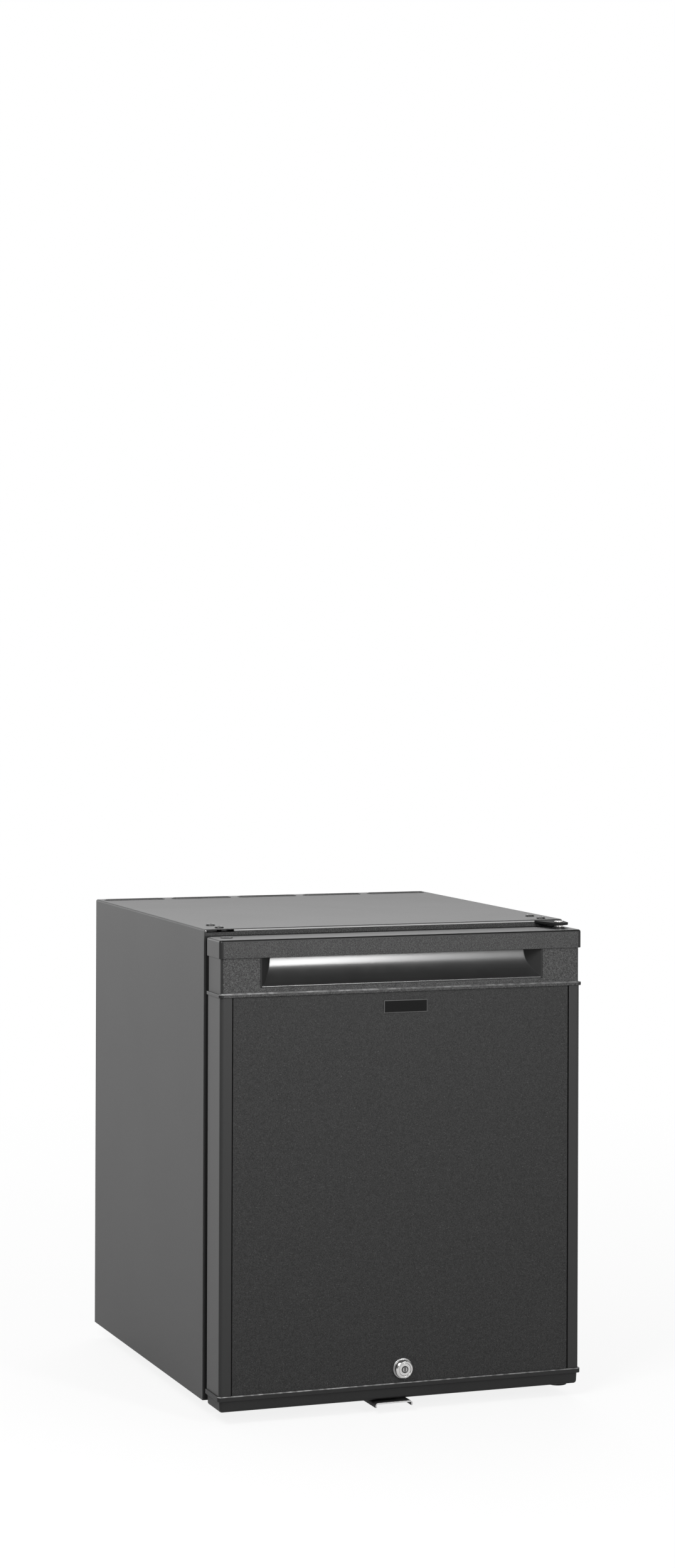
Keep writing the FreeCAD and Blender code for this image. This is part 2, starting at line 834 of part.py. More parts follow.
def grip_pocket(front):
    """Room for the grip's shell: a window under the band, and the space behind the band."""
    half = grip_half + grip_rim
    window = block((-half, half), (front, cap_hollow_y), (grip_bottom_z - grip_rim, grip_top_z))
    behind = block((-half, half), (grip_hook_y, cap_hollow_y), (grip_top_z, grip_roof_z))
    return fuse([window, behind])


def make_grip_shell():
    """Moulded scoop in the cap's window, with leaning end walls; its back goes up behind the band."""
    return grip_pocket(grip_face_y).cut(make_grip_space())


def make_door_top_cap():
    """Moulded cap: proud top band, window for the grip, thin bead, hinge sockets and a foam-filled back."""
    band = door_slab(band_proud, (grip_top_z, door_top_z))
    band = round_chosen(band, band_edge_radius, lambda middle: near(middle.z, door_top_z)
                        and not near(middle.y, door_rear_y))
    middle_part = door_slab(-cap_setback, (top_cap_z, grip_top_z))
    bead = door_slab(bead_proud, (top_cap_z, top_cap_z + bead_height))
    cap = fuse([band, middle_part, bead])
    cap = cap.cut(grip_pocket(door_front_y - 2 * band_proud))
    hollow_half = pivot_x - bush_diameter / 2 - cap_wall
    cap = cap.cut(block((-hollow_half, hollow_half), (cap_hollow_y, door_rear_y - cap_wall),
                        (top_cap_z - overrun, door_top_z - cap_wall)))
    cap = cap.cut(liner_rebate())
    return drill_sockets(cap, door_top_z, -Z)


def liner_rebate():
    """Shallow seat for the door's lining in the back of the door."""
    half = door_half - door_liner_inset
    return block((-half, half), (door_liner_y, door_rear_y + overrun),
                 (door_bottom_z + door_liner_inset, door_top_z - door_liner_inset))


def drill_sockets(cap, z, inward):
    """Cut the hinge socket on the right and its twin on the left."""
    for side in (-1, 1):
        mouth = vec(side * pivot_x, pivot_y, z)
        cap = cap.cut(rod(bush_diameter, mouth - inward * overrun, mouth + inward * bush_length))
    return cap


def make_door_bottom_cap():
    """Moulded cap: bead on top, body drawn in below, round lower edge, slot for the cam."""
    body_top = bottom_cap_z - bottom_bead_height
    bead = door_slab(bottom_bead_proud, (body_top, bottom_cap_z))
    body = Part.makeLoft([door_ring(bottom_inset_low, door_bottom_z), door_ring(bottom_inset_high, body_top)],
                         True)
    body = round_chosen(body, bottom_edge_radius, lambda middle: near(middle.z, door_bottom_z)
                        and not near(middle.y, door_rear_y))
    cap = fuse([bead, body])
    wall = bottom_cap_wall + bottom_inset_low
    hollow_half = pivot_x - bush_diameter / 2 - cap_wall
    hollow = block((-hollow_half, hollow_half), (door_front_y + wall, door_liner_y - wall),
                   (door_bottom_z + bottom_cap_floor, bottom_cap_z + overrun))
    slot_reach = cam_sweep(door_bottom_z + bottom_cap_floor) + strike_slot_margin
    slot = block((-slot_reach, cam_width / 2 + strike_slot_margin),
                 (cam_y - strike_slot_margin, cam_end_y + strike_slot_margin),
                 (door_bottom_z - overrun, bottom_cap_z))
    cap = cap.cut(hollow).cut(slot).cut(liner_rebate())
    return drill_sockets(cap, door_bottom_z, Z)


def door_ring(inset, z):
    """Outline of the door drawn in from the profiles, with round front corners, at one level."""
    half = door_half - inset
    front = door_front_y + inset
    radius = door_edge_radius
    slant = radius * (1 - math.sqrt(0.5))
    left = [vec(-half, front + radius, z), vec(-half + slant, front + slant, z), vec(-half + radius, front, z)]
    right = [vec(half - radius, front, z), vec(half - slant, front + slant, z), vec(half, front + radius, z)]
    rear_right = vec(half, door_rear_y, z)
    rear_left = vec(-half, door_rear_y, z)
    edges = [Part.Arc(*left).toShape(), Part.makeLine(left[2], right[0]), Part.Arc(*right).toShape(),
             Part.makeLine(right[2], rear_right), Part.makeLine(rear_right, rear_left),
             Part.makeLine(rear_left, left[0])]
    return Part.Wire(edges)


def make_door_profile(side):
    """Side channel between the caps: round front corner, front lip over the panel, rear flange."""
    tall = (bottom_cap_z, top_cap_z)
    outer = side * door_half
    face = side * (door_half - profile_face)
    whole = block(sorted((outer, face)), (door_front_y, door_rear_y), tall)
    whole = round_along(whole, door_edge_radius, Z, lambda middle: near(middle.x, outer)
                        and near(middle.y, door_front_y))
    inside = block(sorted((side * (door_half - profile_wall), side * (door_half - 2 * profile_face))),
                   (door_front_y + profile_lip, door_liner_y - profile_flange),
                   (tall[0] - overrun, tall[1] + overrun))
    return whole.cut(inside).cut(liner_rebate())


def make_door_panel():
    """Front sheet with a thinner tongue behind each side channel's lip and a hole for the lock."""
    face_half = door_half - profile_face - groove_width
    tongue_half = door_half - profile_face + panel_tongue
    tall = (bottom_cap_z, top_cap_z)
    face_rear = panel_front_y + panel_thickness
    face = block((-face_half, face_half), (panel_front_y, face_rear), tall)
    tongue = block((-tongue_half, tongue_half), (face_rear, panel_rear_y), tall)
    axis = vec(0, door_front_y, lock_z)
    return fuse([face, tongue]).cut(rod(lock_barrel_diameter, axis - Y * overrun, axis + Y * lock_barrel_length))


def make_door_liner():
    """Formed inner skin with a raised, bevelled dyke that the racks hang on."""
    half = door_half - door_liner_inset
    skin = block((-half, half), (door_liner_y, door_rear_y),
                 (door_bottom_z + door_liner_inset, door_top_z - door_liner_inset))
    return fuse([skin, dyke_solid(0)]).cut(dyke_solid(door_liner_thickness))


def dyke_solid(wall):
    """Raised middle of the door's lining, or the space inside it when drawn in by the wall."""
    half = door_half - dyke_side_inset - wall
    low = door_bottom_z + dyke_end_inset + wall
    high = door_top_z - dyke_end_inset - wall
    dyke = rounded_block((-half, half), (door_liner_y, rack_rear_y - wall), (low, high), dyke_radius, Y)
    return bevel_chosen(dyke, dyke_bevel, lambda middle: near(middle.y, rack_rear_y - wall))


def make_door_insulation():
    """Foam core of the door, with a pocket for the lock and its turning cam."""
    core = block((-door_half + profile_wall, door_half - profile_wall),
                 (panel_rear_y, door_liner_y - profile_flange), (bottom_cap_z, top_cap_z))
    face_half = door_half - profile_face
    back = block((-face_half, face_half), (panel_rear_y, door_liner_y), (bottom_cap_z, top_cap_z))
    hollow_half = pivot_x - bush_diameter / 2 - cap_wall
    head = block((-hollow_half, hollow_half), (cap_hollow_y, door_rear_y - cap_wall),
                 (top_cap_z, door_top_z - cap_wall))
    foam = fuse([core, back, head, dyke_solid(door_liner_thickness)])
    axis = vec(0, panel_rear_y, lock_z)
    room = lock_nut_span / math.cos(math.pi / 6) + 2 * cam_clearance
    foam = foam.cut(rod(room, axis - Y * overrun, axis + Y * (door_liner_y - panel_rear_y - cap_wall)))
    reach = math.hypot(cam_length, cam_width / 2) + 2 * cam_clearance
    pocket = block((-reach, cam_width / 2 + 2 * cam_clearance),
                   (barrel_end_y - cam_clearance, cam_end_y + cam_screw_head_height + cam_clearance),
                   (bottom_cap_z - overrun, lock_z + cam_width / 2 + 2 * cam_clearance))
    return foam.cut(pocket)


def frame_ring(half, low, high, width, y, radius):
    """Rectangular ring with round corners, given by its outer half width and its two levels."""
    outer = rounded_block((-half, half), y, (low, high), radius, Y)
    inner = block((width - half, half - width), (y[0] - overrun, y[1] + overrun), (low + width, high - width))
    return outer.cut(inner)


def make_door_gasket():
    """Magnetic seal: a flat base on the lining and a narrower round-edged head towards the frame."""
    half = cavity_half + gasket_overlap + gasket_base_width
    low = cavity_bottom_z - gasket_overlap - gasket_base_width
    high = cavity_top_z + gasket_overlap + gasket_base_width
    base_end = door_rear_y + gasket_base_depth
    base = frame_ring(half, low, high, gasket_base_width, (door_rear_y, base_end), gasket_corner_radius)
    inset = (gasket_base_width - gasket_head_width) / 2
    head_end = frame_front_y - gasket_clearance
    head = frame_ring(half - inset, low + inset, high - inset, gasket_head_width, (base_end, head_end),
                      gasket_corner_radius - inset)
    return fuse([base, head])


def make_door_rack(rise):
    """Moulded rack on the dyke: a tray with round corners and a row of windows in its front wall."""
    half = door_half - dyke_side_inset - rack_side_inset
    low = door_bottom_z + dyke_end_inset + rise
    front = rack_rear_y + rack_depth
    tray = block((-half, half), (rack_rear_y, front), (low, low + rack_height))
    tray = round_along(tray, rack_corner_radius, Z, lambda middle: near(middle.y, front))
    room = block((rack_wall - half, half - rack_wall), (rack_rear_y + rack_wall, front - rack_wall),
                 (low + rack_wall, low + rack_height + overrun))
    room = round_along(room, rack_corner_radius - rack_wall, Z,
                       lambda middle: near(middle.y, front - rack_wall))
    tray = tray.cut(room)
    usable = 2 * (half - rack_corner_radius) - rack_window_gap
    pitch = usable / rack_window_count
    for index in range(rack_window_count):
        left = -usable / 2 + index * pitch + rack_window_gap / 2
        window_low = low + (rack_height - rack_window_height) / 2
        tray = tray.cut(block((left, left + pitch - rack_window_gap), (front - 2 * rack_wall, front + overrun),
                              (window_low, window_low + rack_window_height)))
    return tray


def make_hinge_bush(z, inward):
    """Flanged bush in a cap's socket."""
    mouth = vec(pivot_x, pivot_y, z)
    bore = pin_diameter / 2 + pin_clearance
    outline = [(bore, -bush_flange), (bush_flange_diameter / 2, -bush_flange),
               (bush_flange_diameter / 2, 0), (bush_diameter / 2, 0), (bush_diameter / 2, bush_length),
               (bore, bush_length)]
    return lathe(outline, mouth, inward, X)


def make_hinge_hole_plug(z, inward):
    """Plug with a dished head in the socket that the right-hung door leaves free."""
    mouth = vec(-pivot_x, pivot_y, z)
    outline = [(0, 0), (plug_dimple / 2, 0), (plug_dimple / 2, -plug_head / 2),
               (plug_dimple / 2 + plug_head, -plug_head), (plug_diameter / 2, -plug_head),
               (plug_diameter / 2, 0), (bush_diameter / 2, 0), (bush_diameter / 2, bush_length / 2),
               (0, bush_length / 2)]
    return lathe(outline, mouth, inward, X)


def lock_lathe(points):
    """Turned solid on the lock's axis; heights count forward from the door's front."""
    return lathe(points, vec(0, door_front_y, lock_z), vec(0, -1, 0), X)


def make_lock_body():
    """Lock housing: round bezel in front of the panel and a threaded barrel through it."""
    bore = lock_plug_diameter / 2 + pin_clearance
    barrel = lock_barrel_diameter / 2 - fit_gap
    bezel = lock_bezel_diameter / 2
    rim = bezel - lock_bezel_round
    return lock_lathe([(bore, -lock_barrel_length), (barrel, -lock_barrel_length), (barrel, -panel_setback),
                       (bezel, -panel_setback), (bezel, lock_projection - lock_bezel_round),
                       (rim, lock_projection), (bore, lock_projection)])


def make_lock_nut():
    """Hexagon nut that draws the lock against the panel's back."""
    corner = lock_nut_span / 2 / math.cos(math.pi / 6)
    angles = [index * math.pi / 3 for index in range(6)]
    outline = [vec(corner * math.cos(turn), panel_rear_y, lock_z + corner * math.sin(turn)) for turn in angles]
    hole = lock_lathe([(0, -lock_barrel_length), (lock_barrel_diameter / 2 - fit_gap, -lock_barrel_length),
                       (lock_barrel_diameter / 2 - fit_gap, 0), (0, 0)])
    return prism(outline, Y * lock_nut_height).cut(hole)


def make_lock_plug():
    """Turning plug with a raised core, an upright keyway and a tail for the cam."""
    face = lock_projection - lock_plug_recess
    radius = lock_plug_diameter / 2
    core = lock_core_diameter / 2
    tail = tail_diameter / 2
    end = -(lock_barrel_length + cam_clearance + cam_thickness)
    shoulder = -(lock_barrel_length + cam_clearance)
    plug = lock_lathe([(0, end), (tail, end), (tail, shoulder), (radius, shoulder), (radius, face),
                       (core, face), (core, face + lock_core_rise), (0, face + lock_core_rise)])
    keyway_y = door_front_y - face
    return plug.cut(block((-keyway_width / 2, keyway_width / 2), (keyway_y - overrun, keyway_y + keyway_depth),
                          (lock_z - keyway_height / 2, lock_z + keyway_height / 2)))


def make_lock_cam():
    """Flat cam that points left when open, with round ends."""
    axis = vec(0, cam_y, lock_z)
    tip = axis - X * (cam_length - cam_width / 2)
    arm = block((tip.x, 0), (cam_y, cam_end_y), (lock_z - cam_width / 2, lock_z + cam_width / 2))
    ends = [rod(cam_width, end, end + Y * cam_thickness) for end in (axis, tip)]
    return fuse([arm] + ends).cut(rod(tail_diameter, axis - Y * overrun, axis + Y * 2 * cam_thickness))


def make_cam_screw():
    """Screw head behind the cam."""
    seat = vec(0, cam_end_y, lock_z)
    return rod(cam_screw_head, seat, seat + Y * cam_screw_head_height)


def make_shelf(level):
    """Welded wire shelf on a pair of ribs: a round rim, wires from front to back and one cross bar."""
    radius = shelf_rim_diameter / 2
    z = level + radius
    half = cavity_half - shelf_side_gap - radius
    front = rack_rear_y + rack_depth + shelf_rack_gap + radius
    rear = cavity_rear_y - shelf_side_gap - radius
    pieces = []
    for side in (-1, 1):
        corners = [vec(0, front, z), vec(side * half, front, z), vec(side * half, rear, z), vec(0, rear, z)]
        pieces.append(bent_tube(corners, shelf_rim_diameter, shelf_corner_radius))
    wire_half = half - shelf_corner_radius - shelf_rim_diameter
    pitch = 2 * wire_half / (shelf_wire_count - 1)
    for index in range(shelf_wire_count):
        x = -wire_half + index * pitch
        pieces.append(flat_sided_rod(shelf_wire_diameter, vec(x, front, z), vec(x, rear, z), shelf_wire_sides))
    bar_z = z - shelf_wire_diameter / 2
    middle = (front + rear) / 2
    bar_half = cavity_half - rib_reach - shelf_side_gap
    pieces.append(flat_sided_rod(shelf_wire_diameter, vec(-bar_half, middle, bar_z),
                                 vec(bar_half, middle, bar_z), shelf_wire_sides))
    return fuse(pieces)


def make_evaporator():
    """Finned aluminium block on the rear wall: one comb-shaped outline."""
    half = cavity_half - evaporator_side_inset
    low = evaporator_bottom_z()
    root = cavity_rear_y - evaporator_plate
    tip = root - fin_depth
    pitch = (2 * half - fin_thickness) / (fin_count - 1)
    outline = [vec(-half, cavity_rear_y, low)]
    for index in range(fin_count):
        left = -half + index * pitch
        outline += [vec(left, root, low)] if index else []
        outline += [vec(left, tip, low), vec(left + fin_thickness, tip, low)]
        outline += [vec(left + fin_thickness, root, low)] if index < fin_count - 1 else []
    outline.append(vec(half, cavity_rear_y, low))
    return prism(outline, Z * evaporator_height)


def make_drip_gutter():
    """Trough under the fins, with a bore in its rear wall for the drain."""
    half = cavity_half - evaporator_side_inset + gutter_overhang
    low = gutter_z()
    front = cavity_rear_y - gutter_depth
    trough = rounded_block((-half, half), (front, cavity_rear_y), (low, low + gutter_height), gutter_wall, Z)
    room = block((gutter_wall - half, half - gutter_wall), (front + gutter_wall, cavity_rear_y - gutter_wall),
                 (low + gutter_wall, low + gutter_height + overrun))
    start, end = drain_ends()
    return trough.cut(room).cut(rod(drain_bore, start - Y * gutter_depth / 2, end))


def make_drain_tube():
    """Tube from the gutter through the rear wall."""
    start, end = drain_ends()
    return rod(drain_diameter, start, end).cut(rod(drain_bore, start - Y * overrun, end + Y * overrun))


def control_front_y():
    """Front face of the control housing."""
    return frame_rear_y + control_setback


def knob_centre():
    """Middle of the knob's axis on the control housing's front."""
    return vec(control_width / 2 - knob_side_inset, control_front_y(), cavity_top_z - control_height / 2)


def make_control_housing():
    """Light and thermostat housing under the ceiling, with a bore for the knob's shaft."""
    half = control_width / 2
    front = control_front_y()
    low = cavity_top_z - control_height
    body = rounded_block((-half, half), (front, front + control_depth), (low, cavity_top_z),
                         control_radius, Z)
    body = bevel_chosen(body, control_radius / 2, lambda middle: near(middle.z, low))
    bore = knob_shaft_diameter + 2 * pin_clearance
    centre = knob_centre()
    return body.cut(rod(bore, centre - Y * overrun, centre + Y * (knob_shaft_length + overrun)))


def make_light_lens():
    """Diffuser under the control housing."""
    left = lens_inset - control_width / 2
    front = control_front_y() + (control_depth - lens_depth) / 2
    top = cavity_top_z - control_height
    lens = rounded_block((left, left + lens_width), (front, front + lens_depth), (top - lens_drop, top),
                         lens_drop, Z)
    return bevel_chosen(lens, lens_drop / 2, lambda middle: near(middle.z, top - lens_drop))


def make_thermostat_knob():
    """Skirted knob with a grip bar and a shaft."""
    centre = knob_centre()
    face = centre - Y * knob_gap
    skirt = knob_height / 3
    radius = knob_diameter / 2
    knob = lathe([(0, 0), (radius, 0), (radius, skirt / 2), (radius - skirt / 2, skirt), (0, skirt)],
                 face, vec(0, -1, 0), X)
    bar = rounded_block((centre.x - knob_grip / 2, centre.x + knob_grip / 2),
                        (face.y - knob_height, face.y - skirt / 2),
                        (centre.z - radius + skirt, centre.z + radius - skirt), knob_grip / 3, Y)
    bar.rotate(centre, Y, knob_start_angle)
    return fuse([knob, bar, rod(knob_shaft_diameter, face, centre + Y * knob_shaft_length)])


def jacket_x():
    """Left and right sides of the generator's jacket."""
    right = inner_half - unit_side_clearance
    return right - jacket_width, right


def jacket_z():
    """Bottom and top of the generator's jacket."""
    return floor_z + jacket_floor_gap, condenser_z() - jacket_condenser_gap


def riser_x():
    """Axis of the boiler's riser, over the middle of the jacket."""
    return sum(jacket_x()) / 2


def condenser_z():
    """Axis of the condenser."""
    return ceiling_z - condenser_drop


def heater_axis():
    """Foot of the heater on the terminal box."""
    return vec(riser_x(), unit_y, floor_z + terminal_height)


def port_x():
    """Where the unit's tubes enter the evaporator's cover."""
    return port_inset - cover_half()


def cover_half():
    """Half the width of the evaporator's cover."""
    return inner_half - cover_side_inset


def cover_rear_y():
    """Rear face of the evaporator's cover."""
    return back_panel_y + sheet + cover_thickness


def return_x():
    """Axis of the gas return tube down the left side."""
    return -(inner_half - rear_return - return_side_inset)


def vessel_ends():
    """Left and right ends of the absorber vessel."""
    left = return_x() - vessel_dome - unit_tube_diameter / 2
    return left, jacket_x()[0] - vessel_jacket_gap


def vessel_z():
    """Axis of the absorber vessel."""
    return floor_z + vessel_rise


def make_generator_jacket():
    """Insulated sheet-metal casing of the boiler, with a bore for the heater."""
    jacket = rounded_block(jacket_x(), (back_panel_y + sheet, back_panel_y + sheet + jacket_depth),
                           jacket_z(), jacket_radius, Z)
    heater = heater_axis()
    return jacket.cut(rod(heater_diameter, heater, heater + Z * heater_length()))


def heater_length():
    """Whole length of the heater, from the terminal box up into the jacket."""
    return jacket_floor_gap - terminal_height + heater_depth


def make_heater():
    """Cartridge heater in the jacket's bore, standing on the terminal box."""
    heater = heater_axis()
    return rod(heater_diameter, heater, heater + Z * heater_length())


def riser_top_z():
    """Where the wide riser ends and the condenser's tube begins."""
    return (jacket_z()[1] + condenser_z() - riser_bend_radius) / 2


def make_riser():
    """Wide tube out of the jacket's top."""
    return rod(riser_diameter, vec(riser_x(), unit_y, jacket_z()[1]), vec(riser_x(), unit_y, riser_top_z()))


def make_condenser_tube():
    """Tube that climbs, runs across the top and turns in to the evaporator."""
    z = condenser_z()
    inward = min(riser_bend_radius, unit_y - cover_rear_y() - overrun)
    path = [vec(riser_x(), unit_y, riser_top_z()), vec(riser_x(), unit_y, z), vec(port_x(), unit_y, z),
            vec(port_x(), cover_rear_y(), z)]
    return bent_tube(path, unit_tube_diameter, inward)


def make_condenser_fins():
    """Row of square plates pressed on the condenser's tube."""
    z = condenser_z()
    half = condenser_fin_size / 2
    first = riser_x() - riser_bend_radius - condenser_first_fin
    last = port_x() + riser_bend_radius + condenser_last_fin
    fins = []
    for index in range(int((first - last) / condenser_fin_pitch) + 1):
        x = first - index * condenser_fin_pitch
        end = x + condenser_fin_thickness
        fin = block((x, end), (unit_y - half, unit_y + half), (z - half, z + half))
        tube = flat_sided_rod(unit_tube_diameter, vec(x - overrun, unit_y, z), vec(end + overrun, unit_y, z),
                              tube_sides)
        fins.append(fin.cut(tube))
    return Part.makeCompound(fins)


def return_z():
    """Level at which the gas return tube leaves the evaporator."""
    return condenser_z() - condenser_fin_size / 2 - return_fin_gap - unit_tube_diameter / 2


def coil_levels():
    """Heights of the absorber coil's runs, from the top down."""
    lowest = floor_z + coil_first_rise
    count = int((return_z() - coil_top_gap - lowest) / coil_pitch) + 1
    return [lowest + index * coil_pitch for index in reversed(range(count))]


def coil_x():
    """Left and right ends of the coil's runs."""
    return return_x() + coil_return_gap, jacket_x()[0] - coil_jacket_gap


def make_absorber_coil():
    """Serpentine tube from the jacket down to the vessel."""
    levels = coil_levels()
    left, right = coil_x()
    path = [vec(jacket_x()[0], unit_y, levels[0])]
    ends = (left, right)
    for index, (upper, lower) in enumerate(zip(levels, levels[1:])):
        path += [vec(ends[index % 2], unit_y, upper), vec(ends[index % 2], unit_y, lower)]
    last_end = ends[(len(levels) - 1) % 2]
    drop_x = ((left + right) / 2 + last_end) / 2
    path += [vec(drop_x, unit_y, levels[-1]), vec(drop_x, unit_y, vessel_z())]
    tube = bent_tube(path, unit_tube_diameter, (coil_pitch - coil_run_gap) / 2)
    return tube.cut(make_absorber_vessel())


def make_absorber_vessel():
    """Lying cylinder with coned ends."""
    left, right = vessel_ends()
    radius = vessel_diameter / 2
    length = right - left
    end_radius = radius - vessel_dome
    outline = [(0, 0), (end_radius, 0), (radius, vessel_dome), (radius, length - vessel_dome),
               (end_radius, length), (0, length)]
    return lathe(outline, vec(left, unit_y, vessel_z()), X, Z)


def make_vessel_saddles():
    """Two cradles that carry the vessel on the base."""
    left, right = vessel_ends()
    vessel = make_absorber_vessel()
    saddles = []
    for x in (left + saddle_inset, right - saddle_inset - saddle_width):
        cradle = block((x, x + saddle_width), (unit_y - vessel_diameter / 2, unit_y + vessel_diameter / 2),
                       (floor_z, vessel_z() - vessel_diameter / 4))
        saddles.append(cradle.cut(vessel))
    return Part.makeCompound(saddles)


def make_gas_return():
    """Tube from the evaporator down the left side to the vessel."""
    z = return_z()
    bend = unit_y - cover_rear_y() - unit_tube_diameter / 2
    path = [vec(port_x(), cover_rear_y(), z), vec(port_x(), unit_y, z), vec(return_x(), unit_y, z),
            vec(return_x(), unit_y, vessel_z())]
    return bent_tube(path, unit_tube_diameter, bend).cut(make_absorber_vessel())


def make_solution_tube():
    """Thin tube from the vessel's end up to the jacket."""
    start = vessel_ends()[1]
    end = jacket_x()[0]
    middle = (start + end) / 2
    low = vessel_z()
    high = jacket_z()[0] + solution_tube_rise
    path = [vec(start, unit_y, low), vec(middle, unit_y, low), vec(middle, unit_y, high), vec(end, unit_y, high)]
    return bent_tube(path, solution_tube_diameter, solution_tube_diameter)


def make_coil_bracket():
    """Angle strip on the back panel, notched for the coil's runs."""
    levels = coil_levels()
    rear = back_panel_y + sheet
    tall = (levels[-1] - unit_tube_diameter, levels[0] + unit_tube_diameter)
    left, right = coil_x()
    middle = (left + right) / 2
    web = block((middle, middle + clip_thickness), (rear, unit_y), tall)
    foot = block((middle, middle + clip_width), (rear, rear + clip_thickness), tall)
    bracket = fuse([web, foot])
    for z in levels:
        run = flat_sided_rod(unit_tube_diameter, vec(left, unit_y, z), vec(right, unit_y, z), tube_sides)
        bracket = bracket.cut(run)
    return bracket


def make_evaporator_cover():
    """Plate over the hole that the evaporator's tubes pass through."""
    middle = evaporator_bottom_z() + evaporator_height / 2
    return rounded_block((-cover_half(), cover_half()), (back_panel_y + sheet, cover_rear_y()),
                         (middle - cover_height / 2, middle + cover_height / 2), cover_radius, Y)


def inlet_centre():
    """Middle of the mains inlet on the terminal box's rear."""
    return vec(riser_x(), back_panel_y + sheet + terminal_depth, floor_z + terminal_height / 2)


def make_terminal_box():
    """Box for the mains connection, with an opening for the inlet."""
    right = riser_x() + terminal_width / 2
    rear = back_panel_y + sheet + terminal_depth
    box = rounded_block((right - terminal_width, right), (back_panel_y + sheet, rear),
                        (floor_z, floor_z + terminal_height), terminal_radius, Y)
    return box.cut(inlet_body())


def inlet_body():
    """Part of the mains inlet that sits inside the terminal box."""
    centre = inlet_centre()
    return rounded_block((centre.x - inlet_width / 2, centre.x + inlet_width / 2),
                         (centre.y - inlet_depth, centre.y),
                         (centre.z - inlet_height / 2, centre.z + inlet_height / 2), inlet_flange, Y)


def make_power_inlet():
    """Appliance inlet: flanged socket with three flat pins."""
    centre = inlet_centre()
    half_x = inlet_width / 2
    half_z = inlet_height / 2
    flange = rounded_block((centre.x - half_x - inlet_flange, centre.x + half_x + inlet_flange),
                           (centre.y, centre.y + inlet_flange),
                           (centre.z - half_z - inlet_flange, centre.z + half_z + inlet_flange),
                           inlet_flange, Y)
    socket = rounded_block((centre.x - half_x + inlet_flange, centre.x + half_x - inlet_flange),
                           (centre.y - inlet_depth + inlet_flange, centre.y + 2 * inlet_flange),
                           (centre.z - half_z + inlet_flange, centre.z + half_z - inlet_flange),
                           inlet_flange, Y)
    inlet = fuse([flange, inlet_body()]).cut(socket)
    pins = []
    for x, z in ((-half_x / 2, 0), (0, inlet_pin), (half_x / 2, 0)):
        pins.append(block((centre.x + x - inlet_pin / 2, centre.x + x + inlet_pin / 2),
                          (centre.y - inlet_depth + inlet_flange / 2, centre.y),
                          (centre.z + z - inlet_pin, centre.z + z + inlet_pin)))
    return fuse([inlet] + pins)


base_panel = make_base_panel()
outer_wrapper = make_outer_wrapper()
upper_hinge_plate = make_upper_hinge_plate()
hinge_backing = make_hinge_backing()
inner_liner = make_inner_liner()
top_screws = make_top_screws()

nodes = {
    "outer_wrapper": outer_wrapper,
    "base_panel": base_panel,
    "back_panel": make_back_panel().cut(outer_wrapper),
    "front_frame": make_front_frame().cut(outer_wrapper),
    "inner_liner": inner_liner,
    "cabinet_insulation": make_insulation([outer_wrapper, base_panel, upper_hinge_plate, hinge_backing,
                                           inner_liner, top_screws]),
    "upper_hinge_plate": upper_hinge_plate,
    "upper_hinge_pin": make_upper_hinge_pin(),
    "hinge_backing_plate": hinge_backing,
    "lower_hinge_plate": make_lower_hinge_plate(),
    "lower_hinge_pin": make_lower_hinge_pin(),
    "top_screws": top_screws,
    "lower_hinge_screws": make_lower_hinge_screws(),
    "strike_plate": make_strike_plate(),
    "strike_screws": make_strike_screws(),
    "feet": make_feet(),
    "foot_screws": make_foot_screws(),
    "lower_shelf": make_shelf(rib_levels()[0]),
    "upper_shelf": make_shelf(rib_levels()[2]),
    "evaporator": make_evaporator(),
    "drip_gutter": make_drip_gutter(),
    "drain_tube": make_drain_tube(),
    "control_housing": make_control_housing(),
    "light_lens": make_light_lens(),
    "generator_jacket": make_generator_jacket(),
    "heater_cartridge": make_heater(),
    "riser_tube": make_riser(),
    "condenser_tube": make_condenser_tube(),
    "condenser_fins": make_condenser_fins(),
    "absorber_coil": make_absorber_coil(),
    "absorber_vessel": make_absorber_vessel(),
    "vessel_saddles": make_vessel_saddles(),
    "gas_return_tube": make_gas_return(),
    "solution_tube": make_solution_tube(),
    "coil_bracket": make_coil_bracket(),
    "evaporator_cover": make_evaporator_cover(),
    "terminal_box": make_terminal_box(),
    "power_inlet": make_power_inlet(),
    "door_panel": make_door_panel(),
    "door_profile_left": make_door_profile(-1),
    "door_profile_right": make_door_profile(1),
    "door_top_cap": make_door_top_cap(),
    "grip_shell": make_grip_shell(),
    "door_bottom_cap": make_door_bottom_cap(),
    "door_insulation": make_door_insulation(),
    "door_liner": make_door_liner(),
    "door_gasket": make_door_gasket(),
    "lower_door_rack": make_door_rack(lower_rack_rise),
    "upper_door_rack": make_door_rack(upper_rack_rise),
    "upper_hinge_bush": make_hinge_bush(door_top_z, -Z),
    "lower_hinge_bush": make_hinge_bush(door_bottom_z, Z),
    "hinge_hole_plugs": Part.makeCompound([make_hinge_hole_plug(door_top_z, -Z),
                                           make_hinge_hole_plug(door_bottom_z, Z)]),
    "lock_body": make_lock_body(),
    "lock_nut": make_lock_nut(),
    "lock_plug": make_lock_plug(),
    "lock_cam": make_lock_cam(),
    "cam_screw": make_cam_screw(),
    "thermostat_knob": make_thermostat_knob(),
}

os.makedirs("parts", exist_ok=True)
for name, shape in nodes.items():
    shape.exportStep("parts/" + name + ".step")
    print(name, len(shape.Solids), shape.isValid(), round(shape.Volume))
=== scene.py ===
"""Looks of a black hotel minibar fridge, dressed on its solids. Lengths are in metres."""

import json
import math

import bmesh
import bpy
from mathutils import Matrix, Vector


